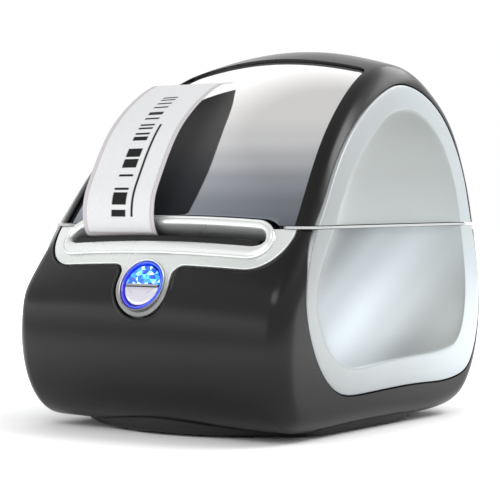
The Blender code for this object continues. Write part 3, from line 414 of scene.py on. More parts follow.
def dish_painted_light(paint):
    """Painted light and shade on a side panel's dish: a painted streak of light through its lower half, and
    painted shade darkening towards the top of its upper half.
    """
    _, y, z = paint.axes()
    run = paint.math("SUBTRACT", paint.math("MULTIPLY", y, 0.5), paint.math("MULTIPLY", z, 0.85))
    streak = paint.ramp(paint.span(run, -0.090, 0.010, 0.0, 1.0),
                        [(0.0, (0.40, 0.42, 0.43)), (0.12, (0.44, 0.46, 0.47)), (0.27, (0.86, 0.92, 0.95)),
                         (0.42, (1.18, 1.26, 1.32)), (0.55, (0.98, 1.03, 1.06)), (0.74, (0.50, 0.51, 0.52)),
                         (0.88, (0.68, 0.69, 0.67)), (1.0, (0.80, 0.81, 0.78))])
    even = paint.mix(paint.span(y, -0.02, 0.050, 0.0, 0.62), streak, (0.68, 0.70, 0.68))
    plain = paint.ramp(paint.span(z, 0.079, 0.126, 0.0, 1.0),
                       [(0.0, (0.94, 0.96, 0.95)), (0.5, (0.82, 0.84, 0.81)), (1.0, (0.64, 0.66, 0.63))])
    seam = SEAM_Z * MM
    return paint.mix(paint.span(z, seam, seam + 0.0002, 0.0, 1.0), even, plain)


def steel(name, base, rough, stretch):
    """Rolled or turned metal: fine lines, uneven gloss and a few dull spots."""
    paint = Paint(name, base, rough, 1.0)
    lines = paint.noise(900.0, 4.0, 0.6, stretch=stretch)
    spots = paint.noise(60.0, 3.0, 0.6)
    low = tuple(c * 0.82 for c in base)
    paint.put("Base Color", paint.mix(paint.span(spots, 0.35, 0.65, 0.0, 1.0), low, base))
    paint.put("Roughness", paint.span(lines, 0.3, 0.7, rough * 0.75, rough * 1.3))
    paint.bump(lines, 0.00001)
    return paint.material


def window_paint():
    """Tinted mirror whose colour is a painted reflection, pale at its top and slate at its foot. It cannot be seen
    through.
    """
    paint = Paint("tinted_mirror", (0.4, 0.42, 0.45), 0.05, 0.94)
    height = paint.axes()[2]
    spread = paint.span(height, 0.076, 0.150, 0.0, 1.0)
    stops = [(0.00, colour("6f747d")), (0.14, colour("878c94")), (0.27, colour("a6a9b0")),
             (0.37, colour("cbcdd0")), (0.48, colour("ebebec")), (0.60, colour("f8f7f6")),
             (1.00, colour("fdfcfb"))]
    painted_reflection = paint.ramp(spread, stops)
    paint.put("Base Color", painted_reflection)
    paint.put("Roughness", paint.span(paint.noise(45.0, 2.0), 0.3, 0.7, 0.035, 0.06))
    paint.set("Coat Weight", 0.2)
    paint.set("Coat Roughness", 0.03)
    return paint.material


def label_paint():
    """Thermal label on its backing: a die-cut label with a printed block of bars."""
    paint = Paint("label_print", (0.8, 0.8, 0.8), 0.55)
    place = paint.node("ShaderNodeUVMap").outputs[0]
    across, along, _ = paint.node("ShaderNodeSeparateXYZ", _0=place).outputs

    def inside(value, low, high, soft):
        rise = paint.span(value, low - soft, low + soft, 0.0, 1.0)
        fall = paint.span(value, high - soft, high + soft, 1.0, 0.0)
        return paint.math("MULTIPLY", rise, fall)

    label = paint.math("MULTIPLY", inside(across, 0.055, 0.945, 0.006), inside(along, 0.02, 0.985, 0.003))
    fibre = paint.noise(700.0, 3.0, 0.6)
    stock = paint.mix(fibre, colour("bdbec0"), colour("c7c8c9"))
    backing = paint.mix(fibre, colour("aba6a9"), colour("b6b1b4"))
    base = paint.mix(label, backing, stock)
    edge = paint.math("SUBTRACT", paint.math("MULTIPLY", inside(across, 0.042, 0.958, 0.006),
                                             inside(along, 0.012, 0.992, 0.002)), label)
    base = paint.mix(paint.math("MULTIPLY", edge, 0.35), base, colour("8d8a8e"))
    step = paint.math("FLOOR", paint.math("MULTIPLY", along, 92.0))
    chance = paint.tree.nodes.new("ShaderNodeTexWhiteNoise")
    chance.noise_dimensions = "1D"
    paint.tree.links.new(step, chance.inputs["W"])
    bar = paint.math("GREATER_THAN", chance.outputs["Value"], 0.42)
    block = paint.math("MULTIPLY", inside(across, 0.41, 0.61, 0.008), inside(along, 0.09, 0.78, 0.002))
    ink = paint.math("MULTIPLY", bar, block)
    rule = paint.math("MULTIPLY", inside(across, 0.68, 0.712, 0.006), inside(along, 0.09, 0.55, 0.002))
    ink = paint.math("MAXIMUM", ink, rule)
    base = paint.mix(paint.math("MULTIPLY", ink, 0.985), base, colour("060607"))
    paint.put("Base Color", base)
    paint.put("Roughness", paint.mix(ink, (0.5, 0.5, 0.5), (0.38, 0.38, 0.38)))
    relief = paint.math("ADD", paint.math("MULTIPLY", label, 3.0), fibre)
    paint.bump(relief, 0.00003)
    paint.set("Specular IOR Level", 0.08)
    return paint.material


def jewel_paint():
    """Lit blue facets, each its own shade."""
    paint = Paint("jewel_blue", colour("0b3fd0"), 0.08)
    shade = paint.node("ShaderNodeAttribute")
    shade.attribute_name = "facet"
    glow = paint.ramp(shade.outputs["Fac"], [(0.0, colour("0a2aa8")), (0.35, colour("1257e0")),
                                             (0.62, colour("1f8df2")), (0.82, colour("5cc8fa")),
                                             (1.0, colour("d8f6ff"))])
    paint.put("Base Color", glow)
    paint.put("Emission Color", glow)
    paint.set("Emission Strength", 0.62)
    paint.set("Coat Weight", 0.6)
    paint.set("Coat Roughness", 0.03)
    return paint.material


def glow_paint():
    """Clear ring lit from behind: blue, going violet towards its left."""
    paint = Paint("ring_blue", colour("1b39c8"), 0.12)
    x, _, z = paint.axes()
    lean = paint.span(paint.math("ADD", x, paint.math("MULTIPLY", z, 0.4)), 0.010, 0.034, 0.0, 1.0)
    glow = paint.ramp(lean, [(0.0, colour("4a35b4")), (0.35, colour("1a2fc4")), (1.0, colour("0f49d8"))])
    paint.put("Base Color", glow)
    paint.put("Emission Color", glow)
    paint.set("Emission Strength", 0.40)
    paint.put("Roughness", paint.span(paint.noise(700.0), 0.3, 0.7, 0.08, 0.16))
    paint.set("Coat Weight", 0.6)
    return paint.material


def board_paint():
    """Green solder mask with copper tracks and pads showing through."""
    paint = Paint("circuit_board", (0.012, 0.10, 0.035), 0.32)
    grid = paint.node("ShaderNodeTexBrick", Vector=paint.where, Scale=260.0)
    grid.inputs["Color1"].default_value = (*colour("0f5a2b"), 1)
    grid.inputs["Color2"].default_value = (*colour("0c4a24"), 1)
    grid.inputs["Mortar"].default_value = (*colour("1f7f45"), 1)
    grid.inputs["Mortar Size"].default_value = 0.03
    pads = paint.span(paint.cells(420.0), 0.16, 0.2, 1.0, 0.0)
    paint.put("Base Color", paint.mix(pads, grid.outputs[0], colour("b9a25a")))
    paint.put("Metallic", pads)
    paint.bump(grid.outputs[1], 0.00004)
    return paint.material


def roll_paint():
    """Edge of a wound roll: fine turns of backing and label."""
    paint = Paint("wound_paper", (0.8, 0.8, 0.79), 0.7)
    _, y, z = paint.axes()
    dy = paint.math("SUBTRACT", y, SPOOL[0] * MM)
    dz = paint.math("SUBTRACT", z, SPOOL[1] * MM)
    squares = paint.math("ADD", paint.math("MULTIPLY", dy, dy), paint.math("MULTIPLY", dz, dz))
    radius = paint.math("SQRT", squares)
    turns = paint.math("SINE", paint.math("MULTIPLY", radius, 14000.0))
    shade = paint.span(turns, -1.0, 1.0, 0.0, 1.0)
    paint.put("Base Color", paint.mix(shade, colour("c9c6bd"), colour("efeeea")))
    paint.bump(shade, 0.00005)
    return paint.material


def core_paint():
    """Spiral-wound card tube."""
    paint = Paint("wound_card", (0.52, 0.4, 0.26), 0.85)
    fibre = paint.noise(900.0, 5.0, 0.7, stretch=(0.2, 1.0, 1.0))
    paint.put("Base Color", paint.mix(fibre, colour("8b6b45"), colour("b9966a")))
    paint.bump(fibre, 0.00006)
    return paint.material


def tread_paint(name, base, scale):
    """Dull rubber, or the label's underside painted dark as shade, with a mottled grain."""
    paint = Paint(name, base, 0.8)
    grain = paint.noise(scale, 4.0, 0.7)
    paint.put("Base Color", paint.mix(grain, tuple(c * 0.7 for c in base), tuple(c * 1.35 for c in base)))
    paint.put("Roughness", paint.span(grain, 0.3, 0.7, 0.68, 0.92))
    paint.bump(grain, 0.00008)
    return paint.material


GLOSS = moulded("black_gloss", (0.0055, 0.0053, 0.0051), 0.22, 420.0, 0.000005, 0.22)
INNER = moulded("black_inside", (0.008, 0.008, 0.0082), 0.55, 1500.0, 0.00002, 0.2)
MATT = moulded("dark_matt", (0.0085, 0.0082, 0.0078), 0.5, 1800.0, 0.00003, 0.35)
SILVER = silver("silver_paint", (0.41, 0.43, 0.44), 0.34, 0.55, 0.05, band_painted_light)
DISH = silver("silver_dish", (0.40, 0.42, 0.43), 0.36, 0.55, 0.07, dish_painted_light)
GASKET = silver("seam_gasket", (0.42, 0.43, 0.43), 0.5, 0.2, 0.05)
BRIGHT = silver("bright_paint", (0.69, 0.71, 0.70), 0.27, 0.60, 0.03, lobe_painted_shade)
KEY = silver("key_paint", (0.60, 0.59, 0.66), 0.20, 0.75, 0.02)
WINDOW = window_paint()
LABEL = label_paint()
# painted shade: the strip's underside is painted nearly black so that its reflection in the window reads dark
SHADED_UNDERSIDE = tread_paint("label_back", (0.030, 0.030, 0.031), 1500.0)    # dark, for its reflection
JEWEL = jewel_paint()
GLOW = glow_paint()
RUBBER = tread_paint("foot_rubber", (0.020, 0.020, 0.020), 1200.0)
ROLLER = tread_paint("roller_rubber", (0.045, 0.045, 0.046), 2600.0)
STEEL = steel("sheet_steel", (0.56, 0.57, 0.58), 0.32, (0.08, 1.0, 1.0))
TURNED = steel("turned_steel", (0.62, 0.63, 0.64), 0.22, (1.0, 0.1, 0.1))
ACETAL = moulded("natural_acetal", (0.74, 0.73, 0.68), 0.42, 1500.0, 0.00002)
BOARD = board_paint()
TEETH = moulded("tear_bar_black", (0.006, 0.006, 0.006), 0.5, 1500.0, 0.00002, 0.25)
ROLL = roll_paint()
CARD = core_paint()


# ---------------------------------------------------------------- mesh helpers
SMOOTH_ANGLE = math.radians(34)


def to_object(name, bm):
    """An object in millimetres from a bmesh, with its loose points merged."""
    bmesh.ops.remove_doubles(bm, verts=bm.verts, dist=0.0008)
    bmesh.ops.recalc_face_normals(bm, faces=bm.faces)
    mesh = bpy.data.meshes.new(name)
    bm.to_mesh(mesh)
    bm.free()
    made = bpy.data.objects.new(name, mesh)
    bpy.context.scene.collection.objects.link(made)
    return made


def combine(target, tool):
    """Cut a bmesh or object from `target`."""
    if isinstance(tool, bmesh.types.BMesh):
        tool = to_object("tool", tool)
    bpy.context.view_layer.update()
    before = len(target.data.vertices)
    for solver in ("MANIFOLD", "EXACT"):
        step = target.modifiers.new("cut", "BOOLEAN")
        step.operation = "DIFFERENCE"
        step.solver = solver
        step.object = tool
        graph = bpy.context.evaluated_depsgraph_get()
        result = bpy.data.meshes.new_from_object(target.evaluated_get(graph))
        target.modifiers.remove(step)
        if len(result.vertices) and len(result.vertices) != before:
            break
    old = target.data
    target.data = result
    bpy.data.meshes.remove(old)
    bpy.data.objects.remove(tool)
    return target


def finish(made, body, paints, stands_for=(), source=None, angle=SMOOTH_ANGLE):
    """Scale to metres, shade, paint and hang the piece on its body."""
    mesh = made.data
    mesh.transform(Matrix.Scale(MM, 4))
    mesh.shade_smooth()
    mesh.set_sharp_from_angle(angle=angle)
    paints = paints if isinstance(paints, (list, tuple)) else [paints]
    marks = np.zeros(len(mesh.polygons), np.int32)
    mesh.polygons.foreach_get("material_index", marks)
    mesh.materials.clear()
    for paint in paints:
        mesh.materials.append(paint)
    mesh.polygons.foreach_set("material_index", np.minimum(marks, len(paints) - 1))
    if source is not None:
        borrow_normals(made, source)
    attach(made, body)
    if stands_for:
        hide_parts(*stands_for)
    return made


def borrow_normals(made, source):
    """Take shading normals from an uncut smooth surface wherever the piece lies on it."""
    tree, triangles, normals, points = source
    mesh = made.data
    corner = np.zeros(len(mesh.loops) * 3, np.float32)
    mesh.corner_normals.foreach_get("vector", corner)
    corner = corner.reshape(-1, 3)
    found = {}
    for index, vert in enumerate(mesh.vertices):
        co, _, face, distance = tree.find_nearest(vert.co / MM)
        if distance is None or distance > 0.06:
            continue
        a, b, c = triangles[face]
        pa, pb, pc = points[a], points[b], points[c]
        area = (pb - pa).cross(pc - pa).length
        if area < 1e-9:
            continue
        wa = (pb - co).cross(pc - co).length / area
        wb = (pc - co).cross(pa - co).length / area
        blended = normals[a] * wa + normals[b] * wb + normals[c] * max(0.0, 1 - wa - wb)
        found[index] = blended.normalized()
    for poly in mesh.polygons:
        for loop in poly.loop_indices:
            smooth = found.get(mesh.loops[loop].vertex_index)
            if smooth is not None and smooth.dot(poly.normal) > 0.9:
                corner[loop] = smooth
    mesh.normals_split_custom_set(corner.tolist())


def surface_source(bm):
    """What borrow_normals needs from a smooth closed surface, in millimetres."""
    bmesh.ops.recalc_face_normals(bm, faces=bm.faces)
    bmesh.ops.triangulate(bm, faces=bm.faces[:])
    bm.normal_update()
    bm.verts.index_update()
    points = [v.co.copy() for v in bm.verts]
    normals = [v.normal.copy() for v in bm.verts]
    triangles = [tuple(v.index for v in f.verts) for f in bm.faces]
    return BVHTree.FromPolygons(points, triangles), triangles, normals, points


def box_mesh(low, high):
    """A block between two corners."""
    bm = bmesh.new()
    size = Vector(high) - Vector(low)
    middle = (Vector(high) + Vector(low)) / 2
    bmesh.ops.create_cube(bm, size=1, matrix=Matrix.Translation(middle) @ Matrix.Diagonal((*size, 1)))
    return bm


def between(low, high, back=100):
    """A block as wide and deep as the casing between two heights, for cutting it away."""
    return box_mesh((-90, -100, low), (90, back, high))


def rounded_box(x, wide, low, high, radius):
    """Outline of an upright rectangle with round corners."""
    left, right = x - wide / 2 + radius, x + wide / 2 - radius
    foot, head = low + radius, high - radius
    ring = []
    for u, v, start in ((right, head, 0), (left, head, 90), (left, foot, 180), (right, foot, 270)):
        ring += circle(radius, (u, v), 6, start, 90)
    return ring


def loft(rings, closed=False):
    """A solid skinned over rings of equal length; capped at both ends unless closed."""
    bm = bmesh.new()
    loops = [[bm.verts.new(p) for p in ring] for ring in rings]
    count = len(rings[0])
    pairs = list(zip(loops, loops[1:]))
    if closed:
        pairs.append((loops[-1], loops[0]))
    for near, far in pairs:
        for k in range(count):
            nxt = (k + 1) % count
            bm.faces.new((near[k], near[nxt], far[nxt], far[k]))
    if not closed:
        bm.faces.new(loops[0])
        bm.faces.new(reversed(loops[-1]))
    return bm


def turned(profile, axis_point, sides):
    """A solid turned round the X line through `axis_point`, from (x, radius) points."""
    y0, z0 = axis_point
    turns = [2 * math.pi * k / sides for k in range(sides)]
    rings = [[(x, y0 + r * math.cos(t), z0 + r * math.sin(t)) for t in turns] for x, r in profile]
    return loft(rings, True)


def upright(place, profile, sides):
    """A solid turned round the vertical through `place`, from (z, radius) points."""
    x0, y0 = place
    turns = [2 * math.pi * k / sides for k in range(sides)]
    return loft([[(x0 + r * math.cos(t), y0 + r * math.sin(t), z) for t in turns] for z, r in profile])


def circle(radius, centre, steps, start=0.0, sweep=360.0):
    """Points of a circle or, with both its ends, of an arc."""
    whole = sweep >= 360
    count = steps if whole else steps + 1
    return [(centre[0] + radius * math.cos(math.radians(start + sweep * k / steps)),
             centre[1] + radius * math.sin(math.radians(start + sweep * k / steps)))
            for k in range(count)]


def obround(half, radius, centre, grow, steps=16):
    """A long slot with round ends, `grow` outside its edge."""
    ring = []
    for side, start in ((1, -90), (-1, 90)):
        for k in range(steps + 1):
            turn = math.radians(start + 180 * k / steps)
            ring.append((side * (half - radius) + (radius + grow) * math.cos(turn),
                         centre + (radius + grow) * math.sin(turn)))
    return ring


def stations(low, high, pitch):
    """Places of the cuts that divide a plate, `pitch` apart."""
    count = int((high - low) / pitch)
    return [low + pitch * (k + 1) for k in range(count) if low + pitch * (k + 1) < high - 0.2]


def plate(place, outline, low, high, pitch, holes=(), edge=0.0):
    """An outline with rounded top edges, divided finely and laid on a curved skin."""
    bm = bmesh.new()
    profile = [(0.0, low)]
    if edge:
        for t in (0, 22.5, 45, 67.5, 90):
            turn = math.radians(t)
            profile.append((edge * (1 - math.cos(turn)), high - edge + edge * math.sin(turn)))
    else:
        profile.append((0.0, high))
    caps = {0: [], len(profile) - 1: []}
    for index, ring in enumerate((outline, *holes)):
        loops = []
        for level, (step, h) in enumerate(profile):
            moved = offset_ring(ring, step if index == 0 else -step)
            verts = [bm.verts.new((u, v, h)) for u, v in moved]
            loops.append(verts)
            if level in caps:
                caps[level] += [(verts[k], verts[(k + 1) % len(verts)]) for k in range(len(verts))]
        for near, far in zip(loops, loops[1:]):
            for k in range(len(near)):
                nxt = (k + 1) % len(near)
                bm.faces.new((near[k], near[nxt], far[nxt], far[k]))
    for pairs in caps.values():
        edges = [bm.edges.get(pair) or bm.edges.new(pair) for pair in pairs]
        bmesh.ops.triangle_fill(bm, use_beauty=True, use_dissolve=False, edges=edges)
    us = [v.co.x for v in bm.verts]
    vs = [v.co.y for v in bm.verts]
    for axis, (first, last, size) in enumerate(((min(us), max(us), pitch[0]), (min(vs), max(vs), pitch[1]))):
        normal = [0, 0, 0]
        normal[axis] = 1
        for station in stations(first, last, size):
            point = [0, 0, 0]
            point[axis] = station
            everything = bm.verts[:] + bm.edges[:] + bm.faces[:]
            bmesh.ops.bisect_plane(bm, geom=everything, plane_co=point, plane_no=normal, dist=0.0005)
    bmesh.ops.dissolve_degenerate(bm, edges=bm.edges, dist=0.0005)
    for vert in bm.verts:
        vert.co = place(*vert.co)
    return bm


# ---------------------------------------------------------------- casing
OUTER_TURNS = [90, 82, 74, 66, 58, 50, 42, 34, 26, 18, 10]
CLOSING = (0.97, 0.93, 0.88, 0.8, 0.7, 0.58, 0.45, 0.3, 0.15, 0.03)


def casing_solid(points, middle, turns, inner=0.0, side_inner=0.0, closing=(0.55, 0.05)):
    """The closed body of the casing, or its cavity `inner` below the skin."""
    flat = HALF_WIDTH - EDGE_RADIUS
    edge = [flat + EDGE_RADIUS * math.sin(math.radians(t)) for t in turns]
    across = edge + [flat - 2 * flat * k / middle for k in range(middle + 1)] + [-x for x in reversed(edge)]
    squeeze = (HALF_WIDTH - side_inner) / HALF_WIDTH
    rings = []
    for x in across:
        rings.append([casing(x, -SKIN_LENGTH * k / points, -inner) for k in range(points)])
    for end, order in ((0, -1), (-1, 1)):
        outline = rings[end]
        centre = sum(outline, Vector()) / points
        sign = 1 if outline[0].x > 0 else -1
        for scale in closing:
            ring = []
            for p in outline:
                y = centre.y + (p.y - centre.y) * scale
                z = centre.z + (p.z - centre.z) * scale
                ring.append(Vector((sign * half_width(z), y, z)))
            if order < 0:
                rings.insert(0, ring)
            else:
                rings.append(ring)
    for ring in rings:
        for p in ring:
            p.x *= squeeze
    return loft(rings)


def fine_casing():
    """The whole outside of the casing, finely divided."""
    return casing_solid(240, middle=18, turns=OUTER_TURNS, closing=CLOSING)


def panel_rings(sign, grow, low, high, points, dished):
    """Rings of a whole side panel, from its flat back over its rounded edge into its dish."""
    place = side_of(sign)
    outer = closed_curve(PANEL_VIEW, points)
    dish = closed_curve(DISH_VIEW, points)
    middle = dish.mean(axis=0)

    def ring(shape, toward, h):
        return [place(*(p + (middle - p) * toward), h) for p in shape]

    rings = [ring(outer, 0.93, low), ring(outer, 0.5, low), ring(offset_ring(outer, -grow), 0, low)]
    if not dished:
        return rings + [ring(offset_ring(outer, -grow), 0, high), ring(outer, 0.93, high)]
    for t in (0, 30, 60, 90):
        turn = math.radians(t)
        rings.append(ring(offset_ring(outer, 0.55 * (1 - math.cos(turn)) - grow), 0,
                          high - 0.5 + 0.5 * math.sin(turn)))
    for share in (0.3, 0.6, 0.85):
        rings.append(ring(outer + (dish - outer) * share, 0, high + 0.06 * math.sin(math.pi * share)))
    # the dish falls over a crisp edge and then eases out to its floor
    fall = ((-0.004, 0.0), (0.0, 0.06), (0.004, 0.26), (0.012, 0.5), (0.03, 0.82), (0.06, 1.2), (0.10, 1.58),
            (0.16, 1.98), (0.24, 2.32), (0.35, 2.6), (0.5, 2.77), (0.7, 2.82), (0.93, 2.83))
    for toward, depth in fall:
        rings.append(ring(dish, toward, high - depth))
    return rings


def panel_solid(sign, grow=0.0, low=-3.4, high=0.08, points=180, dished=True):
    """A whole side panel, or with `dished` off the room it needs."""
    return loft(panel_rings(sign, grow, low, high, points, dished))


def bezel_outline(grow=0.0):
    """The front plate: a bar with swept ends and a round lobe under its middle."""
    top = BEZEL_TOP - grow
    drop = BEZEL_DROP + grow
    half = BEZEL_HALF + grow
    corner = BEZEL_CORNER + grow
    reach = LOBE_R + LOBE_FILLET
    fillet = LOBE_FILLET - grow
    fall = LOBE_S - (BEZEL_DROP + LOBE_FILLET)
    fillet_x = math.sqrt(reach ** 2 - fall ** 2)
    lean = math.degrees(math.atan2(fall, fillet_x))
    side = []
    for t in np.linspace(0, 90, 25):
        turn = math.radians(t)
        side.append((half - corner + corner * math.cos(turn), top + (drop - top) * math.sin(turn)))
    side += circle(fillet, (fillet_x, BEZEL_DROP + LOBE_FILLET), 16, -90, -(90 - lean))
    side += circle(LOBE_R + grow, (0, LOBE_S), 36, -lean, 90 + lean)[1:]
    return side + [(-x, s) for x, s in reversed(side[:-1])]


def window_outline(grow=0.0):
    """The clear front panel: tapering, round at its top corners, notched over the slot."""
    low = -1.0 + grow * (1.0 if grow > 0 else 2.2)
    high = WINDOW_TOP - grow
    foot = WINDOW_HALF + grow
    head = WINDOW_HALF - WINDOW_TAPER + grow
    ring = [(foot, low)]
    ring += [(head - 5 + 5 * math.cos(math.radians(t)), high + 5 - 5 * math.sin(math.radians(t)))
             for t in range(0, 91, 10)]
    notch = []
    for x, s in obround(SLOT_HALF, SLOT_R, SLOT_S, NOTCH_GROW - grow, 32):
        if s < low:
            notch.append((x, s))
    notch.sort()
    return ring + [(-x, s) for x, s in reversed(ring)] + notch


def soften_seam(made, level):
    """Round the outer edge where the shell is cut at the seam."""
    bm = bmesh.new()
    bm.from_mesh(made.data)
    bmesh.ops.dissolve_degenerate(bm, edges=bm.edges, dist=0.001)
    rim = []
    for edge in bm.edges:
        flat = all(abs(v.co.z - level) < 0.002 for v in edge.verts)
        if flat and len(edge.link_faces) == 2:
            out = [f for f in edge.link_faces if abs(f.normal.z) < 0.95]
            middle = (edge.verts[0].co + edge.verts[1].co) / 2
            centre = Vector((0, 8, middle.z))
            if len(out) == 1 and out[0].normal.dot(middle - centre) > 0:
                rim.append(edge)
    bmesh.ops.bevel(bm, geom=rim, offset=0.45, segments=3, profile=0.5, affect="EDGES", clamp_overlap=True)
    bm.to_mesh(made.data)
    bm.free()


def shell(name, wall, side):
    """Half of the casing, hollow, cut at the seam, with a pocket for each side panel."""
    made = to_object(name, fine_casing())
    combine(made, casing_solid(90, 10, (90, 70, 50, 30, 15), wall, SIDE_WALL))
    level = SEAM_Z - side * SEAM_GAP / 2
    low = level if side > 0 else -10
    high = 170 if side > 0 else level
    combine(made, between(low, high))
    soften_seam(made, level)
    for sign in (1, -1):
        combine(made, panel_solid(sign, CLEAR + 0.25, -3.9, 3.0, 180, False))
    return made


def foot_ring(grow):
    """Outline of the foot: a bowed front, straight sides and round rear corners."""
    half = FOOT_HALF + grow
    radius = FOOT_ARC_R + grow
    spread = math.degrees(math.asin((half - 5) / radius))
    centre = FOOT_FRONT + FOOT_ARC_R
    front = [(radius * math.sin(math.radians(a)), centre - radius * math.cos(math.radians(a)))
             for a in np.linspace(-spread, spread, 61)]
    join = front[-1][1] + 7
    back = FOOT_BACK + grow
    side = [(half, join)] + [(half - 12 + 12 * math.cos(t), back - 12 + 12 * math.sin(t))
                             for t in np.linspace(0, math.pi / 2, 17)]
    return front + side + [(-x, y) for x, y in reversed(side)]


def build_casing():
    """The housing, the cover and the black lip that frames the front plate."""
    source = surface_source(fine_casing())
    lower = shell("housing_shell", LOWER_WALL, 1)
    combine(lower, plate(casing, bezel_outline(0.75), -BEZEL_THICK, 4, (3, 2)))
    combine(lower, plate(casing, obround(SLOT_HALF, SLOT_R, SLOT_S, 1.6 + CLEAR), -9, 6, (4, 3)))
    combine(lower, plate(casing, circle(HOLE_R, (0, LOBE_S), 64), -9, 4, (4, 3)))
    combine(lower, loft([[(x, y, z) for x, y in foot_ring(0.6)] for z in (-1, 12)]))
    combine(lower, box_mesh((-80, HINGE_Y - 9, 75.9), (80, 90, 90)))
    for x, wide, low, high in PORTS:
        combine(lower, port_cut(x, wide + 0.4, low - 0.2, high + 0.2))
    for k in range(VENT_ROWS):
        for x in (-VENT_X, VENT_X):
            combine(lower, vent_cut(x, VENT_LOW + VENT_PITCH * k))
    finish(lower, "housing", GLOSS, ("lower_housing",), source)

    upper = shell("cover_skin", COVER_WALL, -1)
    combine(upper, plate(casing, window_outline(CLEAR + 0.15), -WINDOW_THICK - WINDOW_SUNK - 0.2, 5, (4, 4)))
    combine(upper, plate(casing, window_outline(-WINDOW_LEDGE), -9, 5, (6, 6)))
    combine(upper, plate(casing, obround(SLOT_HALF, SLOT_R, SLOT_S, NOTCH_GROW), -6, 6, (4, 3)))
    for x in (-HINGE_X, HINGE_X):
        combine(upper, box_mesh((x - HINGE_SLOT, HINGE_Y - 4, 70), (x + HINGE_SLOT, 90, HINGE_SLOT_TOP)))
    finish(upper, "cover", GLOSS, ("cover_shell",), source)

    lip = []
    for grow, h in ((0.75, -0.9), (0.75, 0.02), (0.92, 0.20), (1.25, 0.26), (1.65, 0.20),
                    (2.0, -0.02), (2.1, -0.9)):
        lip.append([casing(x, s, h) for x, s in bezel_outline(grow)])
    rim = to_object("bezel_lip", loft(lip, True))
    combine(rim, between(LOWER_TOP - 0.1, 120, 0))
    finish(rim, "housing", GLOSS, ())


def seam_path(sign, s, level, depth, side_gap, back, turns):
    """A line at height `level` from near the hinge round a front corner, `depth` inside the skin."""
    squeeze = sign * (HALF_WIDTH - side_gap) / HALF_WIDTH
    flat = HALF_WIDTH - EDGE_RADIUS
    arc = [casing(flat + EDGE_RADIUS * math.sin(math.radians(t)), s, -depth) for t in turns]
    arc = [Vector((arc[0].x, back, 0))] + arc + [casing(53.6, s, -depth)]
    return [Vector((p.x * squeeze, p.y, level)) for p in arc]


def build_tongue():
    """Dark lip inside each side of the seam, which the cover closes over."""
    turns = range(90, -1, -15)
    for name, sign in (("right", 1), ("left", -1)):
        rings = []
        for s in (2.4, 0.0, -2.4):
            level = skin_at(s)[0][1]
            outer, inner = [seam_path(sign, s, level, depth, side_gap, HINGE_Y - 11, turns)
                            for depth, side_gap in ((3.9, 6.2), (4.8, 7.2))]
            rings.append(outer + inner[::-1])
        finish(to_object("seam_tongue_" + name, loft(rings)), "housing", INNER, ())


def build_gasket():
    """Pale strip lying in the seam round both sides and the front corners."""
    turns = range(90, -1, -10)
    for name, sign in (("right", 1), ("left", -1)):
        rings = []
        for lift in (-0.5, 0.4):
            outer, inner = [seam_path(sign, -lift, SEAM_Z + lift, depth, side_gap, HINGE_Y - 6, turns)
                            for depth, side_gap in ((0.9, 0.9), (5.2, 5.4))]
            rings.append(outer + inner[::-1])
        finish(to_object("seam_gasket_" + name, loft(rings)), "housing", GASKET, ())


def build_skirt():
    """Skirt inside the cover's lower rear edge, turned about the hinge so that it clears the housing."""
    for name, low, high in (("left", -55.2, -27.0), ("middle", -17.0, 17.0), ("right", 27.0, 55.2)):
        rings = []
        for x in (low, high):
            outer = circle(11.3, (HINGE_Y, HINGE_Z), 16, -128, 68)
            inner = circle(10.3, (HINGE_Y, HINGE_Z), 16, -128, 68)
            rings.append([(x, y, z) for y, z in outer + inner[::-1]])
        finish(to_object("cover_skirt_" + name, loft(rings)), "cover", INNER, ())


def port_cut(x, wide, low, high):
    """A socket opening with rounded corners through the rear wall."""
    ring = rounded_box(x, wide, low, high, 1.2)
    return loft([[(u, y, v) for u, v in ring] for y in (60, 90)])


def vent_cut(x, z):
    """One louvre slot in the rear wall."""
    ring = [(u, z + v) for u, v in obround(13.0, 0.8, 0.0, 0.0, 6)]
    return loft([[(x + u, y, v) for u, v in ring] for y in (70, 90)])


# ---------------------------------------------------------------- front
def button_frame():
    """Middle of the button with the directions out of it and down the skin."""
    middle = casing(0, LOBE_S)
    down = (casing(0, LOBE_S + 0.5) - casing(0, LOBE_S - 0.5)).normalized()
    out = casing(0, LOBE_S, 1) - middle
    return middle, (out - down * out.dot(down)).normalized(), down


BUTTON_FRAME = button_frame()


def on_button(u, v, h):
    """Point `u` across, `v` down and `h` out from the middle of the button."""
    middle, out, down = BUTTON_FRAME
    return middle + Vector((u, 0, 0)) + down * v + out * h


def front_sheet(height):
    """Smooth slab over the front of the casing, `height` above its skin."""
    across = [-61.0 + 122.0 * k / 80 for k in range(81)]
    rings = []
    for k in range(61):
        s = -8.0 + 46.0 * k / 60
        outer = [casing(x, s, height) for x in across]
        rings.append(outer + [casing(x, s, height - 2.0) for x in across[::-1]])
    return loft(rings)


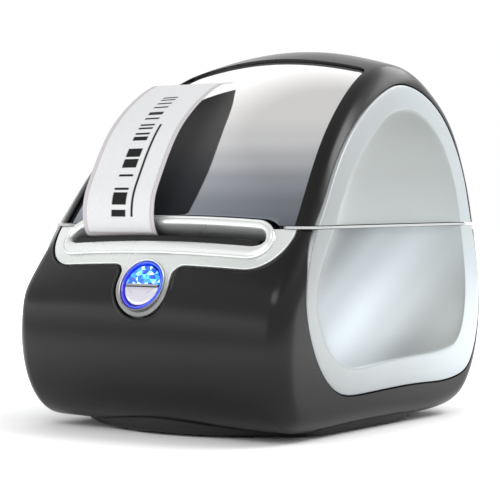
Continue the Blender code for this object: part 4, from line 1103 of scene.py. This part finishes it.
def build_front():
    """Front plate, slot rim, tear bar and button."""
    low, high = -BEZEL_THICK + CLEAR / 2, 0.25
    slot = obround(SLOT_HALF, SLOT_R, SLOT_S, 1.6 + CLEAR)
    hole = circle(HOLE_R, (0, LOBE_S), 72)
    made = to_object("front_plate", plate(casing, bezel_outline(), low, high, (2.5, 1.5), (slot, hole), 0.55))
    combine(made, between(LOWER_TOP - 0.1, 120, 0))
    finish(made, "housing", BRIGHT, ("front_bezel",), surface_source(front_sheet(high)))

    collar = []
    for radius, h in ((HOLE_R + 0.1, -1.2), (HOLE_R + 0.1, 0.42), (HOLE_R - 0.05, 0.62), (HOLE_R - 0.35, 0.5),
                      (RING_R + 0.1, -0.2), (RING_R + 0.1, -1.2)):
        collar.append([on_button(u, v, h) for u, v in circle(radius, (0, 0), 72)])
    finish(to_object("button_collar", loft(collar, True)), "housing", BRIGHT, ())

    # (growth of the opening, height over the skin); the lower lip is broader than the upper one
    rim = [(1.6, -3.0), (1.6, 0.3), (3.3, 0.3), (3.45, 0.55), (3.75, 0.9), (3.7, 1.2), (3.5, 1.42),
           (3.2, 1.5), (2.9, 1.42), (2.75, 1.3), (2.62, 1.42), (2.4, 1.6), (1.9, 1.72), (1.3, 1.66),
           (0.75, 1.4), (0.4, 0.95),
           (0.15, 0.3), (0.0, -0.6), (-0.1, -2.2), (-0.1, -3.6), (0.2, -4.6), (0.9, -4.4)]
    rings = []
    for grow, height in rim:
        outline = resample(np.array(obround(SLOT_HALF, SLOT_R, SLOT_S, grow, 24)), 240)
        ring = []
        for x, s in outline:
            low = min(1.0, max(0.0, (s - SLOT_S) / SLOT_R))
            share = min(1.0, (2.75 - grow) / 2.75) if height > -0.7 else 0.28
            lift = LIP_BROAD * low * max(0.0, share)
            top = min(1.0, max(0.0, (SLOT_S - s) / SLOT_R))
            ring.append(casing(x, s - lift, height * (1 + RAMP_DEEP * top) if height < -3.5 else height))
        rings.append(ring)
    made = to_object("slot_surround", loft(rings, True))
    finish(made, "housing", BRIGHT, ("exit_slot_rim",))

    teeth = 92
    half = SLOT_HALF - 2.2
    edge = []
    for k in range(teeth):
        left = -half + 2 * half * k / teeth
        edge += [(left, 5.3), (left + 0.42, 4.4), (left + 0.56, 4.4)]
    edge.append((half, 5.3))
    bar = edge + [(SLOT_HALF - 4.5, 8.5), (-SLOT_HALF + 4.5, 8.5)]
    finish(to_object("tear_edge", plate(casing, bar, -2.9, 0.35, (12, 9))), "housing", TEETH, ("tear_bar",),
           None, math.radians(20))

    ring = []
    for radius, height in ((8.5, -3.0), (RING_R, -3.0), (RING_R, -0.3), (9.38, 0.15), (9.15, 0.42),
                           (8.9, 0.5),
                           (8.68, 0.38), (8.5, 0.0)):
        ring.append([on_button(u, v, height) for u, v in circle(radius, (0, 0), 96)])
    finish(to_object("light_ring", loft(ring, True)), "housing", GLOW, ("button_light_ring",))
    build_jewel()

    build_key()


def build_key():
    """The half of the button that is pressed: a domed half disc with its stem."""
    rings = []
    for inset_by, h in ((0.0, -3.0), (0.0, -0.5), (0.12, -0.18), (0.35, 0.0), (0.8, 0.14), (1.8, 0.34),
                        (3.2, 0.5),
                        (4.6, 0.58)):
        radius = BUTTON_R - inset_by
        gap = 0.5 + inset_by * 0.62
        ring = []
        for u, v in circle(radius, (0, 0), 40, 0, 180):
            ring.append(on_button(u, max(v, gap), h))
        rings.append(ring)
    finish(to_object("feed_key", loft(rings)), "button", KEY, ("feed_button",))


def build_jewel():
    """The lit half of the button: a half disc cut into small facets."""
    chance = np.random.default_rng(7)
    bm = bmesh.new()
    rim_low = []
    rim_high = []
    edge = [(u, -max(v, 0.5)) for u, v in circle(BUTTON_R - 0.15, (0, 0), 18, 0, 180)]
    edge = edge + [(u, -0.5) for u in (-5.2, -2.6, 0.0, 2.6, 5.2)]
    for u, v in edge:
        rim_low.append(bm.verts.new((u, v, -3.0)))
        rim_high.append(bm.verts.new((u, v, -0.35)))
    for k in range(len(edge)):
        nxt = (k + 1) % len(edge)
        bm.faces.new((rim_low[k], rim_low[nxt], rim_high[nxt], rim_high[k]))
    bm.faces.new(rim_low)
    inner = []
    for radius, count in ((6.3, 11), (4.3, 8), (2.3, 4)):
        for k in range(count):
            turn = math.pi * (k + 0.5) / count
            u = radius * math.cos(turn) + chance.uniform(-0.4, 0.4)
            v = -max(1.1, radius * math.sin(turn) + chance.uniform(-0.35, 0.35))
            inner.append(bm.verts.new((u, v, -0.35)))
    rim_edges = [bm.edges.get((rim_high[k], rim_high[(k + 1) % len(edge)])) for k in range(len(edge))]
    fill = bmesh.ops.triangle_fill(bm, use_beauty=True, use_dissolve=False, edges=rim_edges)
    faces = [f for f in fill["geom"] if isinstance(f, bmesh.types.BMFace)]
    for vert in inner:
        spot = vert.co.copy()
        bm.verts.remove(vert)
        host = None
        for face in faces:
            if face.is_valid and bmesh.types.BMFace.calc_area(face) > 1e-6 and within(face, spot):
                host = face
                break
        if host is None:
            continue
        made = bmesh.ops.poke(bm, faces=[host])
        made["verts"][0].co = spot
        faces.remove(host)
        faces += made["faces"]
        edges = list({e for f in faces for e in f.edges if len(e.link_faces) == 2
                      and all(g in faces for g in e.link_faces)})
        bmesh.ops.beautify_fill(bm, faces=faces, edges=edges)
        faces = [f for f in bm.faces if f.normal.length and abs(f.calc_center_median().z + 0.35) < 0.05
                 and all(abs(v.co.z + 0.35) < 0.05 for v in f.verts)]
    for vert in bm.verts:
        if vert not in rim_high and vert not in rim_low:
            reach = math.hypot(vert.co.x, vert.co.y) / BUTTON_R
            vert.co.z = -0.25 + 0.75 * (1 - reach ** 2) + chance.uniform(-0.28, 0.28)
    shade = bm.faces.layers.float.new("facet")
    for face in bm.faces:
        face[shade] = float(chance.uniform(0, 1)) if face.calc_center_median().z > -1 else 0.1
    for vert in bm.verts:
        vert.co = on_button(*vert.co)
    made = to_object("status_jewel", bm)
    finish(made, "housing", JEWEL, ("status_light_lens",), None, math.radians(1))

    bar = [[on_button(u, v, h) for u, v in ((-7.4, -0.42), (7.4, -0.42), (7.4, 0.34), (-7.4, 0.34))]
           for h in (-2.0, 0.12)]
    finish(to_object("key_divider", loft(bar)), "housing", BRIGHT, ())


def within(face, spot):
    """True where a flat point lies in a flat triangle."""
    pts = [v.co for v in face.verts]
    signs = []
    for k in range(len(pts)):
        a, b = pts[k], pts[(k + 1) % len(pts)]
        signs.append((b.x - a.x) * (spot.y - a.y) - (b.y - a.y) * (spot.x - a.x))
    return all(s > 1e-6 for s in signs) or all(s < -1e-6 for s in signs)


def build_panels():
    """The four side panels, each half of one dished form, and the window."""
    for name, sign in (("right", 1), ("left", -1)):
        for level, part in ((1, "upper"), (-1, "lower")):
            made = to_object("panel_%s_%s" % (part, name), panel_solid(sign))
            low, high = (-10, COVER_FOOT + 0.1) if level > 0 else (LOWER_TOP - 0.1, 170)
            combine(made, between(low, high))
            for face in made.data.polygons:
                sunk = half_width(face.center.z) - abs(face.center.x)
                face.material_index = int(sunk > 0.06 and face.normal.x * sign > 0.5)
            source = surface_source(panel_solid(sign))
            finish(made, "cover" if level > 0 else "housing", [SILVER, DISH], ("side_panel_%s_%s" % (part, name),),
                   source)
    low, high = -WINDOW_THICK - WINDOW_SUNK, -WINDOW_SUNK
    pane = to_object("front_pane", plate(casing, window_outline(), low, high, (3, 3), (), 0.15))
    combine(pane, between(0, COVER_FOOT, 0))
    finish(pane, "cover", WINDOW, ("cover_window",), surface_source(fine_casing()))


# ---------------------------------------------------------------- foot
def build_foot():
    """The foot with its screw holes, and its four pads."""
    rings = []
    for grow, z in ((-3.0, 4.0), (-3.0, FOOT_TOP), (0.0, FOOT_TOP), (0.0, 2.2), (-0.25, 1.5), (-0.8, 1.1),
                    (-1.6, FOOT_FLOOR)):
        rings.append([(x, y, z) for x, y in foot_ring(grow)])
    base = to_object("pedestal", loft(rings))
    for x, y in FOOT_SCREWS.values():
        combine(base, upright((x, y), ((-1, 3.4), (2.2, 3.4), (2.2, 1.8), (12, 1.8)), 32))
    finish(base, "housing", MATT, ("base_plate",))
    for name, (x, y) in FOOT_POINTS.items():
        pad = upright((x, y), ((0.0, 5.2), (0.0, 5.9), (0.25, 6.3), (0.95, 6.3)), 64)
        finish(to_object("foot_pad_" + name, pad), "housing", RUBBER, ("rubber_foot_" + name,))


# ---------------------------------------------------------------- label and roll
def strip_rows(count, across):
    """Points of the strip's two faces, row by row: it runs straight, then leans to the left."""
    path = open_curve(STRIP_PATH, count)
    step = math.dist(path[0], path[1])
    half = (LABEL_RIGHT - LABEL_LEFT) / 2
    last = count - 1
    centre = (LABEL_LEFT + LABEL_RIGHT) / 2
    front = []
    back = []
    for k, (y, z) in enumerate(path):
        before = Vector((0, *path[max(k - 1, 0)]))
        after = Vector((0, *path[min(k + 1, last)]))
        along = (after - before).normalized()
        free = max(0.0, k / last - STRIP_FREE) / (1 - STRIP_FREE)
        turn = math.radians(STRIP_LEAN) * free ** 2
        centre -= math.sin(turn) * step
        edge = (Vector((math.cos(turn), 0, 0)) + along * math.sin(turn)) * half
        side = Vector((0, -along.z, along.y)) * STRIP_THICK / 2
        middle = Vector((centre, y, z))
        front.append([middle + edge * (2 * j / across - 1) + side for j in range(across + 1)])
        back.append([middle + edge * (2 * j / across - 1) - side for j in range(across + 1)])
    return path, front, back


def build_strip():
    """The strip of labels leaning out of the slot, given a mesh of its own."""
    across = 12
    path, top, under = strip_rows(STRIP_STATIONS, across)
    bm = bmesh.new()
    uv = bm.loops.layers.uv.new("UVMap")
    rows = [[bm.verts.new(p) for p in row] for row in top]
    lows = [[bm.verts.new(p) for p in row] for row in under]
    count = len(path)
    first = next(k for k, place in enumerate(path) if place[1] > PRINT_FROM_Z)

    def quad(a, b, c, d, marks, paint):
        face = bm.faces.new((a, b, c, d))
        face.material_index = paint
        for loop, mark in zip(face.loops, marks):
            loop[uv].uv = mark

    def mark(k, j):
        return (j / across, (k - first) / (count - 1 - first))

    # the top faces carry the printed label, the under faces the painted shade
    for k in range(count - 1):
        for j in range(across):
            marks = (mark(k, j), mark(k, j + 1), mark(k + 1, j + 1), mark(k + 1, j))
            quad(rows[k][j], rows[k][j + 1], rows[k + 1][j + 1], rows[k + 1][j], marks, 0)
            quad(lows[k][j], lows[k + 1][j], lows[k + 1][j + 1], lows[k][j + 1], marks, 1)
        for j in (0, across):
            marks = [(0.0, 0.5)] * 4
            quad(rows[k][j], rows[k + 1][j], lows[k + 1][j], lows[k][j], marks, 0)
    for k in (0, count - 1):
        for j in range(across):
            quad(rows[k][j], rows[k][j + 1], lows[k][j + 1], lows[k][j], [(0.0, 0.5)] * 4, 0)
    made = to_object("label_web", bm)
    finish(made, "housing", [LABEL, SHADED_UNDERSIDE], ("label_strip",))
    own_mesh(made)


def build_roll():
    """The wound roll and its card tube."""
    left, right = LABEL_LEFT, LABEL_RIGHT
    profile = [(left, CORE_R + 0.15), (left, 20.0), (left, 27.0), (left, ROLL_R - 0.15),
               (left + 0.15, ROLL_R), (right - 0.15, ROLL_R), (right, ROLL_R - 0.15), (right, 27.0),
               (right, 20.0), (right, CORE_R + 0.15)]
    finish(to_object("wound_labels", turned(profile, SPOOL, 128)), "spool", ROLL, ("label_roll",))
    tube = [(left, 9.3), (left, CORE_R - 0.15), (right, CORE_R - 0.15), (right, 9.3)]
    finish(to_object("card_core", turned(tube, SPOOL, 96)), "spool", CARD, ("roll_core",))


# ---------------------------------------------------------------- rear and underside
def build_rear():
    """Moulded frames round the two sockets."""
    margin = 1.2
    for name, (x, wide, low, high) in zip(("power", "data"), PORTS):
        ring = rounded_box(x, wide + 2 * margin, low - margin, high + margin, 1.8)
        lip = []
        for grow, out in ((-1.3, -1.2), (-1.3, 0.28), (-1.0, 0.4), (0.0, 0.35), (0.3, 0.0), (0.3, -1.2)):
            lip.append([rear_skin(u, v, out) for u, v in offset_ring(ring, -grow)])
        finish(to_object(name + "_surround", loft(lip, True)), "housing", INNER, ())


def rear_skin(x, z, out):
    """Point of the rear wall at x and height z, `out` beyond it."""
    rear = range(int(SKIN_SAMPLES * 0.38), int(SKIN_SAMPLES * 0.72))
    best = min(rear, key=lambda k: abs(SKIN[k][1] - z))
    point, normal = SKIN[best], NORMAL[best]
    sink = inset(x * HALF_WIDTH / half_width(z), normal[1])
    return Vector((x, point[0] - sink + out, z))


# ---------------------------------------------------------------- the CAD's own pieces
CAD_PAINTS = {
    "dark_matt": MATT, "black_gloss": GLOSS, "silver": SILVER, "bright_silver": BRIGHT, "paper": ROLL,
    "card": CARD, "jewel": JEWEL, "rubber": RUBBER, "platen_rubber": ROLLER, "steel": STEEL,
    "white_plastic": ACETAL, "board": BOARD, "window": WINDOW,
}
CAD_SPECIAL = {
    "platen_shaft": TURNED, "hinge_pin": TURNED, "head_pivot_shaft": TURNED, "idler_stud": TURNED,
    "head_spring": TURNED, "motor_pinion": TURNED,
}


def paint_frame():
    """Paint every CAD node that stays visible."""
    slots = {p["node"]: p["material_slot"] for p in frame["record"]["subparts"]}
    for name, node in frame["nodes"].items():
        paint = CAD_SPECIAL.get(name) or CAD_PAINTS[slots[name]]
        for index in range(max(1, len(node.material_slots))):
            if not node.material_slots:
                node.data.materials.append(paint)
            node.material_slots[index].material = paint


# ---------------------------------------------------------------- studio
def build_floor():
    """A pale floor that grows brighter away from the object."""
    bm = bmesh.new()
    reach = 3000.0
    corners = ((-reach, -reach), (reach, -reach), (reach, reach), (-reach, reach))
    bm.faces.new([bm.verts.new((x, y, 0)) for x, y in corners])
    bmesh.ops.subdivide_edges(bm, edges=bm.edges[:], cuts=3, use_grid_fill=True)
    floor = to_object("studio_floor", bm)
    floor.data.transform(Matrix.Scale(MM, 4))
    paint = Paint("studio_white", (0.93, 0.93, 0.93), 0.9)
    cloud = paint.noise(3.0, 2.0)
    paint.put("Base Color", paint.mix(cloud, (0.925, 0.925, 0.925), (0.94, 0.94, 0.94)))
    x, y, _ = paint.axes()
    away = paint.math("SQRT", paint.math("ADD", paint.math("MULTIPLY", x, x), paint.math("MULTIPLY", y, y)))
    paint.set("Emission Color", (1.0, 1.0, 1.0, 1))
    paint.put("Emission Strength", paint.span(away, 0.085, 0.24, 0.0, 0.85))
    floor.data.materials.append(paint.material)


def build_sky():
    """Plain light from all round, dimmer straight overhead."""
    world = bpy.data.worlds.new("studio_light")
    bpy.context.scene.world = world
    world.use_nodes = True
    tree = world.node_tree
    direction = tree.nodes.new("ShaderNodeTexCoord").outputs["Generated"]
    height = tree.nodes.new("ShaderNodeSeparateXYZ")
    tree.links.new(direction, height.inputs[0])
    level = tree.nodes.new("ShaderNodeMapRange")
    tree.links.new(height.outputs[2], level.inputs[0])
    for socket, value in ((1, -1.0), (2, 1.0), (3, 0.0), (4, 1.0)):
        level.inputs[socket].default_value = value
    sky = tree.nodes.new("ShaderNodeValToRGB")
    tree.links.new(level.outputs[0], sky.inputs[0])
    stops = ((0.0, 1.0), (0.50, 1.0), (0.76, 1.12), (0.85, 1.12), (0.89, 0.88), (0.93, 0.6), (1.0, 0.6))
    elements = sky.color_ramp.elements
    while len(elements) < len(stops):
        elements.new(0.5)
    for element, (at, shade) in zip(elements, stops):
        element.position = at
        element.color = (shade, shade, shade, 1)
    tree.links.new(sky.outputs[0], tree.nodes["Background"].inputs["Color"])
    tree.nodes["Background"].inputs["Strength"].default_value = 1.0


LAMPS = [
    # name, place, target, (width, height), watts
    ("key_light", (0.14, -0.98, 0.98), (0, 0, 0.07), (0.6, 0.5), 4.0),
    ("band_light", (-0.80, -1.00, 0.24), (0, -0.06, 0.04), (1.5, 0.10), 1.2),
    ("side_light", (0.75, 0.35, 1.1), (0.06, 0, 0.07), (0.5, 0.5), 7.0),
    ("back_light", (0.2, 1.1, 0.9), (0, 0, 0.08), (0.9, 0.4), 3.0),
]


def build_lamps():
    """Four soft panels of light."""
    for name, place, target, size, power in LAMPS:
        light = bpy.data.lights.new(name, "AREA")
        light.shape = "RECTANGLE"
        light.size, light.size_y = size
        light.energy = power
        made = bpy.data.objects.new(name, light)
        made.location = place
        made.rotation_euler = (Vector(target) - Vector(place)).to_track_quat("-Z", "Y").to_euler()
        bpy.context.scene.collection.objects.link(made)


def build_camera():
    """The photograph's camera, as solved from its perspective, and the render settings."""
    scene = bpy.context.scene
    scene.view_settings.view_transform = "Standard"
    lens = bpy.data.cameras.new("camera")
    lens.sensor_width = 36.0
    lens.lens = 133.97
    lens.clip_start = 0.01
    eye = bpy.data.objects.new("camera", lens)
    eye.location = (0.4287, -0.6173, 0.0908)
    eye.rotation_euler = (math.radians(90 - 1.742), 0, math.radians(35))
    scene.collection.objects.link(eye)
    scene.camera = eye


build_floor()
build_sky()
build_lamps()
build_camera()
build_casing()
build_tongue()
build_gasket()
build_skirt()
build_front()
build_panels()
build_foot()
build_strip()
build_roll()
build_rear()
paint_frame()
